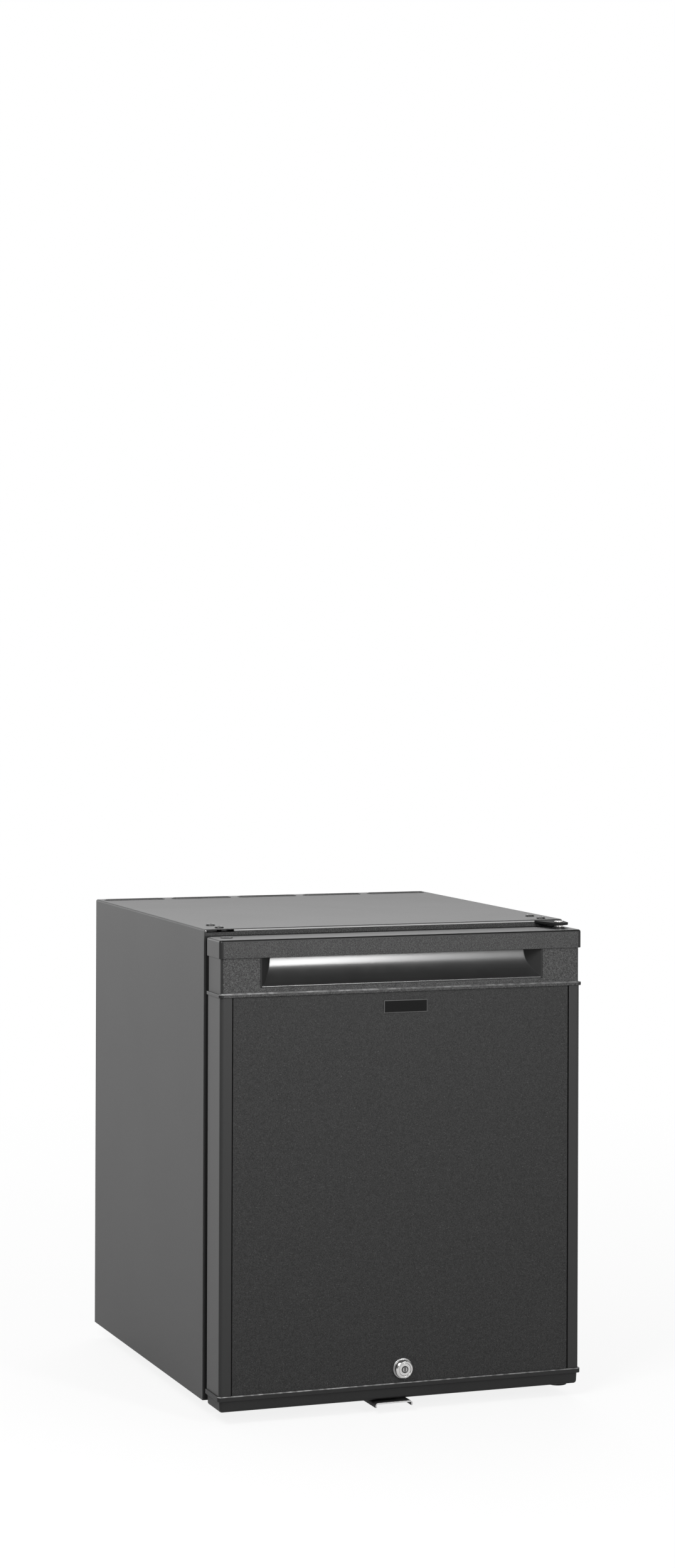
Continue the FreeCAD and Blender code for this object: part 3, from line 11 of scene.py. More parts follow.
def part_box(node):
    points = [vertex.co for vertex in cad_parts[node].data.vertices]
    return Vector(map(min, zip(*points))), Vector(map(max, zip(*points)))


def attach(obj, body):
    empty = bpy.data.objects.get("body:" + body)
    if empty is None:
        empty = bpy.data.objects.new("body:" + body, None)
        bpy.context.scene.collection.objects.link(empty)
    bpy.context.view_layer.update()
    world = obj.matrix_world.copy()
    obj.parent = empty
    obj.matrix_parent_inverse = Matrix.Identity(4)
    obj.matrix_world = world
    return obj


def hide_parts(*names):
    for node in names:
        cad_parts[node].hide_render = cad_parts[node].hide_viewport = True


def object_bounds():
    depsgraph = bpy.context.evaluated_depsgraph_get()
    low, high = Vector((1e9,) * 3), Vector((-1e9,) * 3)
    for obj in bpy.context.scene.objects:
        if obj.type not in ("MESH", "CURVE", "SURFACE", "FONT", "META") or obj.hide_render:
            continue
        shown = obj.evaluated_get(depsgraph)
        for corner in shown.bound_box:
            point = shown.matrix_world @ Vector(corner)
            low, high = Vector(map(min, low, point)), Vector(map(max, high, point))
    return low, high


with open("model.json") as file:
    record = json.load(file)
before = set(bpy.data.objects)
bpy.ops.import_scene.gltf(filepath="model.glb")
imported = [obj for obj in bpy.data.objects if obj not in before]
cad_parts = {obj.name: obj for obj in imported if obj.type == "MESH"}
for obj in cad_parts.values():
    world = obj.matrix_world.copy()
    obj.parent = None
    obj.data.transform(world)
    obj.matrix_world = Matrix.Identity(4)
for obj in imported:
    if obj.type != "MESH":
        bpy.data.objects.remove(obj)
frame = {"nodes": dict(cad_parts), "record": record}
solid_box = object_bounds()
cap_low, cap_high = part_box("door_top_cap")
panel_low, panel_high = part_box("door_panel")
lock_low, lock_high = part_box("lock_body")

# The photograph's camera: its place, its turn to the right and its slight lean
IMAGE_HEIGHT_PIXELS = 2500
SENSOR_SIDE = 36.0
FOCAL_PIXELS = 5073.5
AXIS_ABOVE_CENTRE_PIXELS = 224.8
CAMERA_PLACE = (-1.2065, -3.2790, 0.7941)
CAMERA_YAW = math.radians(20.315)
CAMERA_ROLL = math.radians(0.202)
SIGHT_LIMIT = 200.0

# Where the door's mouldings pass from a grained front to smooth borders and to sides painted lighter as lit
DOOR_TOP = cap_high.z
DOOR_HALF = cap_high.x
DOOR_FRONT = cap_low.y
SMOOTH_BORDER = 0.0042
BAND_ROUNDING = 0.0022
GRAIN_FADE = 0.0003
FRAME_GRAIN_FADE = 0.0004
SIDE_START = DOOR_FRONT + SMOOTH_BORDER
SIDE_FADE = 0.0010
CAP_SIDE_FADE = 0.0008

# Painted highlights along the beads and the frame's upper edge, and the strike's bare cut edge: the distances
# from the edge at which each one begins and at which it is full
TOP_BEAD_HEIGHT = 0.0036
BEAD_HIGHLIGHT = (0.0008, 0.0003)
FRAME_HIGHLIGHT_BELOW_TOP = (0.0014, 0.0009)
FRAME_HIGHLIGHT_BEHIND_FRONT = (0.0016, 0.0012)
STRIKE_EDGE = (0.0006, 0.0003)

# The grip's scoop between its drafted end walls
GRIP_WALL = 0.0015
GRIP_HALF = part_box("grip_shell")[1].x - GRIP_WALL
GRIP_END_RUN = 0.0134
GRIP_END_DEPTH = 0.0156
SCOOP_EDGE = (0.0004, 0.0009)

# The lock on the door's middle: its plug, its core, the grooves round them and the collar
LOCK_MIDDLE = (lock_low + lock_high) / 2
LOCK_PLUG_RADIUS = 0.0065
LOCK_CORE_RADIUS = 0.0032
PLUG_GROOVE = (0.0006, 0.0002)
CORE_GROOVE = (0.0007, 0.0003)
CORE_FADE = 0.0003
FLANGE_RADIUS = 0.0107
FLANGE_HEIGHT = 0.0012
FLANGE_STEPS = 64

# The collar's rolled rim, in shares of its height: inward from its radius and up from the panel
FLANGE_RIM = ((0.0, 0.0), (0.0, 0.4), (0.2, 0.8), (0.6, 1.0))

# The plain badge plate on the panel
BADGE_WIDTH = 0.0484
BADGE_HEIGHT = 0.0133
BADGE_THICKNESS = 0.0012
BADGE_BELOW_CAP = 0.0083
BADGE_OFF_CENTRE = 0.0018
BADGE_MIDDLE_HEIGHT = panel_high.z - BADGE_BELOW_CAP - BADGE_HEIGHT / 2
BADGE_EDGE = 0.0005
BADGE_EDGE_SEGMENTS = 3
BADGE_RIM = 0.0010
BADGE_RIM_FADE = 0.0004

# Cross-headed screws, with the head's outline in shares of its radius and of its height below the crown
SHANK_SHARE = 0.53
HEAD_HEIGHT = 0.0019
HEAD_OUTLINE = ((1.0, 1.0), (1.0, 0.6), (0.92, 0.3), (0.76, 0.08), (0.58, 0.0), (0.0, 0.0))
SCREW_STEPS = 32
CROSS_LENGTH = 0.0042
CROSS_WIDTH = 0.0008
CROSS_LIFT = 0.00003
CROSS_TURN_PER_METRE = 90.0
SCREWS_AND_HEAD_SIDES = {"top_screws": 1, "strike_screws": -1, "lower_hinge_screws": -1, "foot_screws": -1}

# The seal's outer fold
BELLOWS_INSET = 0.0012
BELLOWS_CLEARANCE = BELLOWS_INSET / 4

# How far the sharp edges of each piece are rounded
EDGE_ROUNDINGS = {
    0.0003: ("outer_wrapper", "strike_plate", "lock_body", "lock_plug", "lock_cam", "cam_screw", "lock_nut",
             "upper_hinge_pin", "lower_hinge_pin", "upper_hinge_bush", "lower_hinge_bush", "hinge_hole_plugs",
             "condenser_fins", "coil_bracket", "evaporator_cover", "back_panel", "base_panel", "power_inlet",
             "drain_tube"),
    0.0004: ("door_profile_left", "door_profile_right", "upper_hinge_plate", "lower_hinge_plate",
             "lower_shelf", "upper_shelf", "door_panel", "drip_gutter", "thermostat_knob", "grip_shell"),
    0.0006: ("front_frame", "door_top_cap", "door_bottom_cap", "inner_liner", "door_liner", "evaporator",
             "lower_door_rack", "upper_door_rack", "feet", "vessel_saddles"),
    0.0010: ("door_gasket", "solution_tube", "control_housing", "light_lens", "terminal_box",
             "generator_jacket", "riser_tube"),
    0.0016: ("condenser_tube", "absorber_coil", "gas_return_tube", "absorber_vessel"),
}
ROUNDING_SEGMENTS = 2

# Shared mesh tolerances
MERGE_GAP = 0.000002
FLAT_ANGLE = math.radians(0.5)
SHARP_ANGLE = math.radians(32)

# The floor: its reach, its tones, and its glow near the object and far from it
FLOOR_REACH = 60.0
FLOOR_TONE = 0.85
FLOOR_TONE_IN_GLOSS = 0.66
FLOOR_ROUGHNESS = 0.9
NEAR_FLOOR = 0.4
FAR_FLOOR = 2.0
NEAR_GLOW = 0.85
NEAR_GLOW_IN_GLOSS = 0.20

# The surroundings: their levels, and the parts of a direction between which they change
AMBIENT_LEVEL = 0.45
FRONT_LEVEL = 0.40
REAR_LEVEL = 0.76
FRONT_TO_REAR = (-0.6, 0.2)
LEFT_SHARE = 0.15
LEFT_TO_MIDDLE = (-0.95, -0.6)
OVERHEAD_SHARE = 0.20
LEVEL_TO_OVERHEAD = (0.5, 0.85)

# The studio lamps: place, point looked at, width, height and power in watts
LAMPS = {
    "upper_left_lamp": ((-0.95, -1.05, 1.2), (solid_box[0] + solid_box[1]) / 2, 0.6, 0.6, 18),
    "grip_lamp": ((0.73, -2.50, 1.10), (0.0, -0.2, 0.47), 0.24, 1.0, 32),
    "side_lamp": ((-1.05, 1.9, 0.85), (-0.2, 0.0, 0.40), 0.9, 0.7, 5.0),
    "rear_top_lamp": ((0.5, 1.6, 1.9), (0.0, 0.1, 0.5), 1.6, 1.0, 20),
}


class Signal:
    """A socket of a sheet. Arithmetic on it adds Math nodes to the sheet."""

    def __init__(self, sheet, socket):
        self.sheet = sheet
        self.socket = socket

    def _math(self, operation, first, second):
        return self.sheet.add("ShaderNodeMath", {"operation": operation}, {0: first, 1: second})

    def __add__(self, other):
        return self._math("ADD", self, other)

    def __radd__(self, other):
        return self._math("ADD", other, self)

    def __sub__(self, other):
        return self._math("SUBTRACT", self, other)

    def __rsub__(self, other):
        return self._math("SUBTRACT", other, self)

    def __mul__(self, other):
        return self._math("MULTIPLY", self, other)

    def __rmul__(self, other):
        return self._math("MULTIPLY", other, self)

    def __pow__(self, other):
        return self._math("POWER", self, other)

    def __abs__(self):
        return self._math("ABSOLUTE", self, 0.0)

    def ramp(self, low, high, start=0.0, end=1.0):
        """The value spread from low..high to start..end, held at both ends."""
        sockets = {"Value": self, "From Min": low, "From Max": high, "To Min": start, "To Max": end}
        return self.sheet.add("ShaderNodeMapRange", {"clamp": True}, sockets)


class Sheet:
    """A tree of shader nodes, filled node by node."""

    def __init__(self, tree):
        self.tree = tree

    def feed(self, node, sockets):
        """Values set on a node's sockets, or signals linked to them."""
        for key, value in sockets.items():
            if isinstance(value, Signal):
                self.tree.links.new(value.socket, node.inputs[key])
            else:
                node.inputs[key].default_value = value

    def add(self, kind, settings, sockets, output=0):
        """A node of that kind: its settings first, then its sockets' values or links."""
        node = self.tree.nodes.new(kind)
        for key, value in settings.items():
            setattr(node, key, value)
        self.feed(node, sockets)
        return Signal(self, node.outputs[output])

    def parts(self, vector):
        """The x, y and z of a vector."""
        node = self.add("ShaderNodeSeparateXYZ", {}, {"Vector": vector}).socket.node
        return [Signal(self, socket) for socket in node.outputs]

    def rays(self, *names):
        """One for light rays of each named kind, nought for others."""
        node = self.add("ShaderNodeLightPath", {}, {}).socket.node
        return [Signal(self, node.outputs[name]) for name in names]


class Finish(Sheet):
    """One procedural material, built on its principled shader from Object coordinates."""

    def __init__(self, name):
        self.material = bpy.data.materials.new(name)
        self.material.use_nodes = True
        super().__init__(self.material.node_tree)
        self.shader = self.tree.nodes["Principled BSDF"]
        self.place = self.add("ShaderNodeTexCoord", {}, {}, "Object")

    def axes(self):
        """The place on the surface as x, y and z."""
        return self.parts(self.place)

    def noise(self, size, detail=2.0, along=None, roughness=0.5):
        """Soft noise with features of that size; along stretches it by a factor on each axis."""
        vector = self.place
        if along:
            scale = [1.0 / factor for factor in along]
            vector = self.add("ShaderNodeMapping", {}, {"Vector": self.place, "Scale": scale})
        sockets = {"Vector": vector, "Scale": 1.0 / size, "Detail": detail, "Roughness": roughness}
        return self.add("ShaderNodeTexNoise", {}, sockets, "Fac")

    def cells(self, size, output):
        """A pattern of cells of that size: the distance to their middles or a colour for each."""
        sockets = {"Vector": self.place, "Scale": 1.0 / size}
        return self.add("ShaderNodeTexVoronoi", {}, sockets, output)

    def blend(self, factor, first, second):
        """One colour passing into another by a factor."""
        sockets = {0: factor, 6: first, 7: second}
        return self.add("ShaderNodeMix", {"data_type": "RGBA"}, sockets, 2)

    def bump(self, height, depth):
        """A normal that shows a height of nought to one as relief of that depth."""
        sockets = {"Height": height, "Distance": depth, "Strength": 1.0}
        return self.add("ShaderNodeBump", {}, sockets, "Normal")

    def done(self, **sockets):
        """The material, once the shader's sockets are fed under their own names."""
        names = {key.replace("_", " ").title(): value for key, value in sockets.items()}
        if "Specular Level" in names:
            names["Specular IOR Level"] = names.pop("Specular Level")
        self.feed(self.shader, names)
        return self.material


def grey(value, warm=0.0):
    """A near neutral colour; warm tints it towards brown, below zero towards blue."""
    return (value * (1 + warm), value, value * (1 - warm), 1.0)


def painted_side_light(finish):
    """Nought on the door's front, one on its sides, which are painted lighter as lit."""
    return finish.axes()[1].ramp(SIDE_START, SIDE_START + SIDE_FADE)


def painted_bead_highlight(finish, edge_z):
    """A painted highlight: a thin bright line along a bead's upper edge, broken into short dashes and weaker
    to the right.
    """
    x, y, z = finish.axes()
    line = abs(z - edge_z).ramp(*BEAD_HIGHLIGHT)
    highlight_breaks = finish.noise(0.006, detail=1.0, along=(1, 60, 60)).ramp(0.36, 0.64, 0.35, 1.0)
    front = y.ramp(SIDE_START, SIDE_START - SIDE_FADE)
    return line * highlight_breaks * front * x.ramp(-DOOR_HALF, DOOR_HALF, 1.0, 0.5)


def spark_grain(finish):
    """Colour, roughness and height of a spark-eroded black moulding with a fine sparkle."""
    fine = finish.noise(0.00075, roughness=0.55)
    coarse = finish.noise(0.0018)
    clouds = finish.noise(0.03)
    tone = (fine * 0.75 + coarse * 0.25).ramp(0.41, 0.68)
    colour = finish.blend(tone, grey(0.002), grey(0.068))
    return colour, 0.42 + clouds * 0.12 + tone * 0.06, fine + coarse * 0.5


def painted_sheet():
    """Satin black stove paint on sheet steel, with a faint orange peel and soft clouding."""
    finish = Finish("painted_sheet")
    clouds = finish.noise(0.16, detail=3.0)
    peel = finish.noise(0.0016)
    return finish.done(
        base_color=finish.blend(clouds.ramp(0.3, 0.7), grey(0.028), grey(0.036)),
        roughness=0.40 + clouds * 0.10 + peel * 0.05,
        normal=finish.bump(peel, 0.00003))


def moulded_grain():
    """Top cap: grained on its front, smooth and dark at its borders, with its sides painted lighter as lit
    and a painted highlight along its bead.
    """
    finish = Finish("moulded_grain")
    x, y, z = finish.axes()
    colour, roughness, height = spark_grain(finish)
    inside = abs(x).ramp(DOOR_HALF - SMOOTH_BORDER, DOOR_HALF - SMOOTH_BORDER - GRAIN_FADE)
    below = z.ramp(DOOR_TOP - BAND_ROUNDING, DOOR_TOP - BAND_ROUNDING - GRAIN_FADE)
    grained = inside * below
    # Sides painted lighter than the front, as lit.
    lit_side = y.ramp(SIDE_START - CAP_SIDE_FADE, SIDE_START)
    smooth = finish.blend(lit_side, grey(0.003), grey(0.030))
    # A painted highlight along the top bead.
    wear_and_painted_highlight = painted_bead_highlight(finish, cap_low.z + TOP_BEAD_HEIGHT)
    return finish.done(
        base_color=finish.blend(wear_and_painted_highlight, finish.blend(grained, smooth, colour), grey(0.26)),
        roughness=0.40 + (roughness - 0.40) * grained - wear_and_painted_highlight * 0.1,
        specular_level=0.36,
        normal=finish.bump(height * grained, 0.00016))


def frame_moulding():
    """Front frame: grained above the door; below the door's top smooth where the seal lies on it and painted
    near black as shade in the slit; a painted highlight along its upper edge.
    """
    finish = Finish("frame_moulding")
    y, z = finish.axes()[1:]
    low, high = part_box("front_frame")
    colour, roughness, height = spark_grain(finish)
    # Below the door's top the face is painted near black, as shade in the slit behind the door.
    shown = z.ramp(DOOR_TOP - FRAME_GRAIN_FADE, DOOR_TOP + FRAME_GRAIN_FADE)
    # A painted highlight along the frame's upper front edge.
    near_top = z.ramp(*[high.z - below for below in FRAME_HIGHLIGHT_BELOW_TOP])
    near_front = y.ramp(*[low.y + behind for behind in FRAME_HIGHLIGHT_BEHIND_FRONT])
    edge = near_top * near_front
    return finish.done(
        base_color=finish.blend(edge, finish.blend(shown, grey(0.003), colour), grey(0.32)),
        roughness=0.6 + (roughness - 0.6) * shown - edge * 0.15,
        specular_level=0.3,
        normal=finish.bump(height * shown * (1 - edge), 0.00016))


def polished_scoop():
    """Grip: a glossy black scoop with faint finger marks, between dull end walls painted darker as shade."""
    finish = Finish("polished_scoop")
    x, y = finish.axes()[:2]
    inward = (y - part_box("grip_shell")[0].y) * (GRIP_END_RUN / GRIP_END_DEPTH)
    # One on the scoop; the end walls outside it are painted darker, as shade.
    scoop = (abs(x) + inward).ramp(*[GRIP_HALF - inside for inside in SCOOP_EDGE])
    clouds = finish.noise(0.03)
    marks = finish.noise(0.012, detail=4.0).ramp(0.45, 0.75)
    waves = finish.noise(0.02, detail=1.0)
    return finish.done(
        base_color=finish.blend(scoop, grey(0.002), finish.blend(clouds, grey(0.014), grey(0.021))),
        roughness=0.70 + scoop * (marks * 0.06 - 0.40),
        coat_weight=scoop * (0.8 + marks * 0.2),
        coat_roughness=0.20,
        normal=finish.bump(waves, 0.00006))


def smooth_moulding():
    """Lower cap: plain satin black, with its sides painted lighter as lit and a painted highlight in dashes
    along its bead.
    """
    finish = Finish("smooth_moulding")
    # A painted highlight along the bead's upper edge.
    wear_and_painted_highlight = painted_bead_highlight(finish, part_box("door_bottom_cap")[1].z)
    clouds = finish.noise(0.05, detail=3.0)
    grain = finish.noise(0.0008)
    plain = finish.blend(clouds, grey(0.005), grey(0.010))
    # Sides painted lighter than the front, as lit.
    colour = finish.blend(painted_side_light(finish), plain, grey(0.032))
    return finish.done(
        base_color=finish.blend(wear_and_painted_highlight, colour, grey(0.34)),
        roughness=0.46 + grain * 0.12,
        specular_level=0.30,
        normal=finish.bump(grain, 0.00005))


def door_skin():
    """Front panel: black film with a very fine even grain and stray dust."""
    finish = Finish("door_skin")
    grain = finish.noise(0.0010, detail=3.0, roughness=0.65)
    patches = finish.noise(0.0035)
    dust = finish.noise(0.0010, detail=1.0).ramp(0.72, 0.80)
    clouds = finish.noise(0.2)
    tone = (grain * 0.87 + patches * 0.13).ramp(0.38, 0.66)
    film = finish.blend(tone, grey(0.003), grey(0.027))
    return finish.done(
        base_color=finish.blend(dust * 0.25, film, grey(0.20)),
        roughness=0.50 + clouds * 0.06 - grain * 0.08,
        specular_level=0.26,
        normal=finish.bump(grain, 0.00004))


def drawn_profile():
    """Extruded black edge strips, finely grained, smoother than the mouldings, with their sides painted
    lighter as lit.
    """
    finish = Finish("drawn_profile")
    lines = finish.noise(0.0006, along=(1, 1, 40))
    grain = finish.noise(0.0008)
    clouds = finish.noise(0.12)
    front = finish.blend(clouds, grey(0.005), grey(0.009))
    # The sides are painted lighter than the front, as lit.
    return finish.done(
        base_color=finish.blend(painted_side_light(finish), front, grey(0.050)),
        roughness=0.44 + grain * 0.1,
        specular_level=0.42,
        normal=finish.bump(lines * 0.6 + grain * 0.4, 0.00004))


def zinc_plate(name, value, warm, spangle):
    """Bare plated steel: spangled zinc on sheet, finer on small pieces."""
    finish = Finish(name)
    crystals = finish.cells(spangle, "Color")
    tone = finish.add("ShaderNodeSeparateColor", {}, {"Color": crystals}, "Red")
    haze = finish.noise(spangle * 3, detail=3.0)
    fine = finish.noise(0.0006)
    return finish.done(
        base_color=finish.blend(tone * 0.6 + haze * 0.4, grey(value * 0.8, warm), grey(value * 1.1, warm)),
        metallic=1.0,
        roughness=0.30 + tone * 0.12 + haze * 0.08,
        normal=finish.bump(fine, 0.00003))


def bright_chrome():
    """Chromium plate on the lock, dark in its grooves, its core painted dark as shade in the keyway, with
    hairline marks from keys.
    """
    finish = Finish("bright_chrome")
    x, z = finish.axes()[::2]
    rise = z - LOCK_MIDDLE.z
    radius = (x * x + rise * rise) ** 0.5
    plug_groove = abs(radius - LOCK_PLUG_RADIUS).ramp(*PLUG_GROOVE)
    core_groove = abs(radius - LOCK_CORE_RADIUS).ramp(*CORE_GROOVE)
    # The core is painted dark, as shade in the keyway.
    core = radius.ramp(LOCK_CORE_RADIUS, LOCK_CORE_RADIUS - CORE_FADE)
    dark = (plug_groove * 0.30 + core_groove + core * 0.45).ramp(0.0, 1.0)
    haze = finish.noise(0.004, detail=3.0)
    hairs = finish.noise(0.0004, along=(1, 1, 14))
    plate = finish.blend(haze, grey(0.62, 0.01), grey(0.80, 0.01))
    return finish.done(
        base_color=finish.blend(dark, plate, grey(0.03)),
        metallic=1.0,
        roughness=0.10 + haze * 0.08 + hairs.ramp(0.55, 0.8) * 0.10 + dark * 0.3,
        normal=finish.bump(hairs, 0.00001))


def fin_metal():
    """Mill-finish aluminium, drawn along its length."""
    finish = Finish("fin_metal")
    lines = finish.noise(0.0006, detail=3.0, along=(40, 1, 1))
    haze = finish.noise(0.02, detail=3.0)
    return finish.done(
        base_color=finish.blend(haze, grey(0.60), grey(0.74)),
        metallic=1.0,
        roughness=0.30 + lines * 0.16,
        normal=finish.bump(lines, 0.00004))


def badge_black():
    """Deep black face of the badge plate, with a paler rim."""
    finish = Finish("badge_black")
    x, z = finish.axes()[::2]
    rim_x = BADGE_WIDTH / 2 - BADGE_RIM
    rim_z = BADGE_HEIGHT / 2 - BADGE_RIM
    ends = abs(x - BADGE_OFF_CENTRE).ramp(rim_x, rim_x + BADGE_RIM_FADE)
    top_and_foot = abs(z - BADGE_MIDDLE_HEIGHT).ramp(rim_z, rim_z + BADGE_RIM_FADE)
    rim = (ends + top_and_foot).ramp(0.0, 1.0)
    skin = finish.noise(0.0009)
    return finish.done(
        base_color=finish.blend(rim, finish.blend(skin, grey(0.001), grey(0.003)), grey(0.07)),
        roughness=0.40 + skin * 0.1,
        specular_level=0.10,
        normal=finish.bump(skin, 0.00001))


def hinge_coat():
    """Dull black coat on the hinge plates."""
    finish = Finish("hinge_coat")
    peel = finish.noise(0.0014)
    clouds = finish.noise(0.02, detail=3.0)
    return finish.done(
        base_color=finish.blend(clouds, grey(0.008), grey(0.014)),
        roughness=0.62 + peel * 0.1,
        specular_level=0.12,
        normal=finish.bump(peel, 0.00004))


def plain_plastic(name, value, warm, roughness, depth):
    """Injection-moulded plastic with a fine eroded texture and faint clouding."""
    finish = Finish(name)
    clouds = finish.noise(0.05, detail=3.0)
    texture = finish.noise(0.0009)
    return finish.done(
        base_color=finish.blend(clouds.ramp(0.25, 0.75), grey(value * 0.92, warm), grey(value * 1.05, warm)),
        roughness=roughness + clouds * 0.06 + texture * 0.06,
        normal=finish.bump(texture, depth))


def seal_rubber():
    """Soft black seal with a bloom of fine dust."""
    finish = Finish("seal_rubber")
    bloom = finish.noise(0.02, detail=4.0)
    skin = finish.noise(0.0007)
    return finish.done(
        base_color=finish.blend(bloom.ramp(0.4, 0.8), grey(0.003), grey(0.008)),
        roughness=0.66 + skin * 0.15,
        specular_level=0.15,
        normal=finish.bump(skin, 0.00005))


def coated_wire():
    """White epoxy coat on wire, slightly lumpy."""
    finish = Finish("coated_wire")
    lumps = finish.noise(0.003)
    return finish.done(
        base_color=finish.blend(lumps, grey(0.70, 0.02), grey(0.80, 0.01)),
        roughness=0.24 + lumps * 0.12,
        normal=finish.bump(lumps, 0.0001))


def unit_coat():
    """Black protective coat on the cooling unit's steel, thin and uneven along the pipes."""
    finish = Finish("unit_coat")
    runs = finish.noise(0.012, detail=4.0)
    wear_and_painted_highlight = finish.noise(0.004, detail=3.0).ramp(0.62, 0.78)
    coat = finish.blend(runs, grey(0.014), grey(0.030))
    return finish.done(
        base_color=finish.blend(wear_and_painted_highlight * 0.35, coat, grey(0.10, 0.15)),
        roughness=0.38 + runs * 0.18 + wear_and_painted_highlight * 0.15,
        normal=finish.bump(runs, 0.0002))


def strike_coat():
    """Black paint on the strike, with the cut front edge left bare and bright."""
    finish = Finish("strike_coat")
    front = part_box("strike_plate")[0].y
    bare = finish.axes()[1].ramp(*[front + behind for behind in STRIKE_EDGE])
    peel = finish.noise(0.0012)
    scuffs = finish.noise(0.003, detail=4.0).ramp(0.62, 0.75)
    paint = finish.blend(scuffs * 0.3, grey(0.02), grey(0.09))
    return finish.done(
        base_color=finish.blend(bare, paint, grey(0.72)),
        metallic=bare,
        roughness=0.38 + peel * 0.1 - bare * 0.14,
        normal=finish.bump(peel, 0.00003))


def foam_filling():
    """Pale yellow rigid foam with open cells."""
    finish = Finish("foam_filling")
    pores = finish.cells(0.0014, "Distance")
    clouds = finish.noise(0.02, detail=3.0)
    return finish.done(
        base_color=finish.blend(clouds, (0.62, 0.50, 0.24, 1.0), (0.72, 0.61, 0.34, 1.0)),
        roughness=0.9 - pores * 0.1,
        normal=finish.bump(pores, 0.0004))


def lamp_lens():
    """Frosted cover over the lamp, ribbed inside."""
    finish = Finish("lamp_lens")
    ribs = finish.noise(0.003, detail=1.0, along=(1, 12, 1))
    return finish.done(
        base_color=finish.blend(ribs, (0.78, 0.76, 0.70, 1.0), (0.88, 0.87, 0.83, 1.0)),
        roughness=0.22 + ribs * 0.12,
        normal=finish.bump(ribs, 0.0003))


# The finish of each material slot, and of the nodes that differ from their slot's
finishes = {
    "black_sheet": painted_sheet(),
    "strike_sheet": strike_coat(),
    "zinc_sheet": zinc_plate("galvanised_sheet", 0.58, 0.0, 0.009),
    "textured_black": moulded_grain(),
    "smooth_black": smooth_moulding(),
    "polished_black": polished_scoop(),
    "profile_black": drawn_profile(),
    "front_sheet": door_skin(),
    "pale_lining": plain_plastic("pale_lining", 0.62, 0.015, 0.34, 0.00004),
    "foam": foam_filling(),
    "seal": seal_rubber(),
    "white_wire": coated_wire(),
    "fin_aluminium": fin_metal(),
    "rack_plastic": plain_plastic("rack_plastic", 0.60, -0.02, 0.26, 0.00002),
    "lock_chrome": bright_chrome(),
    "zinc_steel": zinc_plate("plated_steel", 0.62, 0.02, 0.0012),
    "black_screw": zinc_plate("blackened_screws", 0.10, 0.0, 0.0010),
    "unit_paint": unit_coat(),
    "white_plastic": plain_plastic("white_plastic", 0.76, 0.01, 0.30, 0.00004),
    "lens_plastic": lamp_lens(),
    "knob_plastic": plain_plastic("knob_plastic", 0.30, 0.0, 0.34, 0.00003),
    "foot_rubber": plain_plastic("foot_rubber", 0.02, 0.0, 0.62, 0.00008),
    "plain_black_plastic": plain_plastic("plain_black_plastic", 0.022, 0.0, 0.36, 0.00004),
}
finishes_of_nodes = dict.fromkeys(("upper_hinge_plate", "lower_hinge_plate"), hinge_coat())
finishes_of_nodes["front_frame"] = frame_moulding()

# Each node's slot and body, noted before the nodes get their finishes
slots = {name: node.data.materials[0].name for name, node in frame["nodes"].items()}
bodies = {}
for body, members in frame["record"]["behaviour"]["bodies"].items():
    bodies.update(dict.fromkeys(members, body))
for name, node in frame["nodes"].items():
    node.data.materials.clear()
    node.data.materials.append(finishes_of_nodes.get(name, finishes[slots[name]]))


def as_object(name, shape, material):
    """A finished bmesh as an object of the scene."""
    mesh = bpy.data.meshes.new(name)
    shape.to_mesh(mesh)
    shape.free()
    mesh.materials.append(material)
    made = bpy.data.objects.new(name, mesh)
    bpy.context.scene.collection.objects.link(made)
    return made


def as_piece(name, shape, body, slot, material=None):
    """A finished bmesh as a piece that rides on a body, in its slot's finish unless it has its own."""
    piece = as_object(name, shape, material or finishes[slot])
    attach(piece, body)
    return piece


def merged_copy(node):
    """A copy of a node's mesh with its loose triangles joined."""
    shape = bmesh.new()
    shape.from_mesh(frame["nodes"][node].data)
    bmesh.ops.remove_doubles(shape, verts=shape.verts, dist=MERGE_GAP)
    return shape


def shade_smoothly(shape):
    """Every face shaded as part of a rounded surface."""
    for face in shape.faces:
        face.smooth = True


def turn(shape, points, centre, axis, steps, closed=False):
    """An outline through the points, turned once round an axis."""
    outline = [shape.verts.new(point) for point in points]
    ends = outline[1:] + outline[:1] if closed else outline[1:]
    edges = [shape.edges.new(pair) for pair in zip(outline, ends)]
    bmesh.ops.spin(shape, geom=outline + edges, cent=centre, axis=axis, dvec=(0, 0, 0),
                   angle=2 * math.pi, steps=steps, use_merge=True, use_duplicate=False)


def close_seams(shape):
    """Turned outlines with their seams and poles closed, facing outwards."""
    bmesh.ops.remove_doubles(shape, verts=shape.verts, dist=MERGE_GAP)
    bmesh.ops.recalc_face_normals(shape, faces=shape.faces)
    shade_smoothly(shape)


def softened(node, width):
    """The node's own shape with its sharp edges rounded as the real piece's are."""
    shape = merged_copy(node)
    bmesh.ops.dissolve_limit(shape, angle_limit=FLAT_ANGLE, verts=shape.verts, edges=shape.edges)
    shade_smoothly(shape)
    material = frame["nodes"][node].data.materials[0]
    piece = as_piece(node + "_rounded", shape, bodies[node], slots[node], material)
    rounding = piece.modifiers.new("rounding", "BEVEL")
    rounding.width = width
    rounding.segments = ROUNDING_SEGMENTS
    rounding.profile = 0.5
    rounding.limit_method = "ANGLE"
    rounding.angle_limit = SHARP_ANGLE
    piece.modifiers.new("even_shading", "WEIGHTED_NORMAL")
    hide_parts(node)


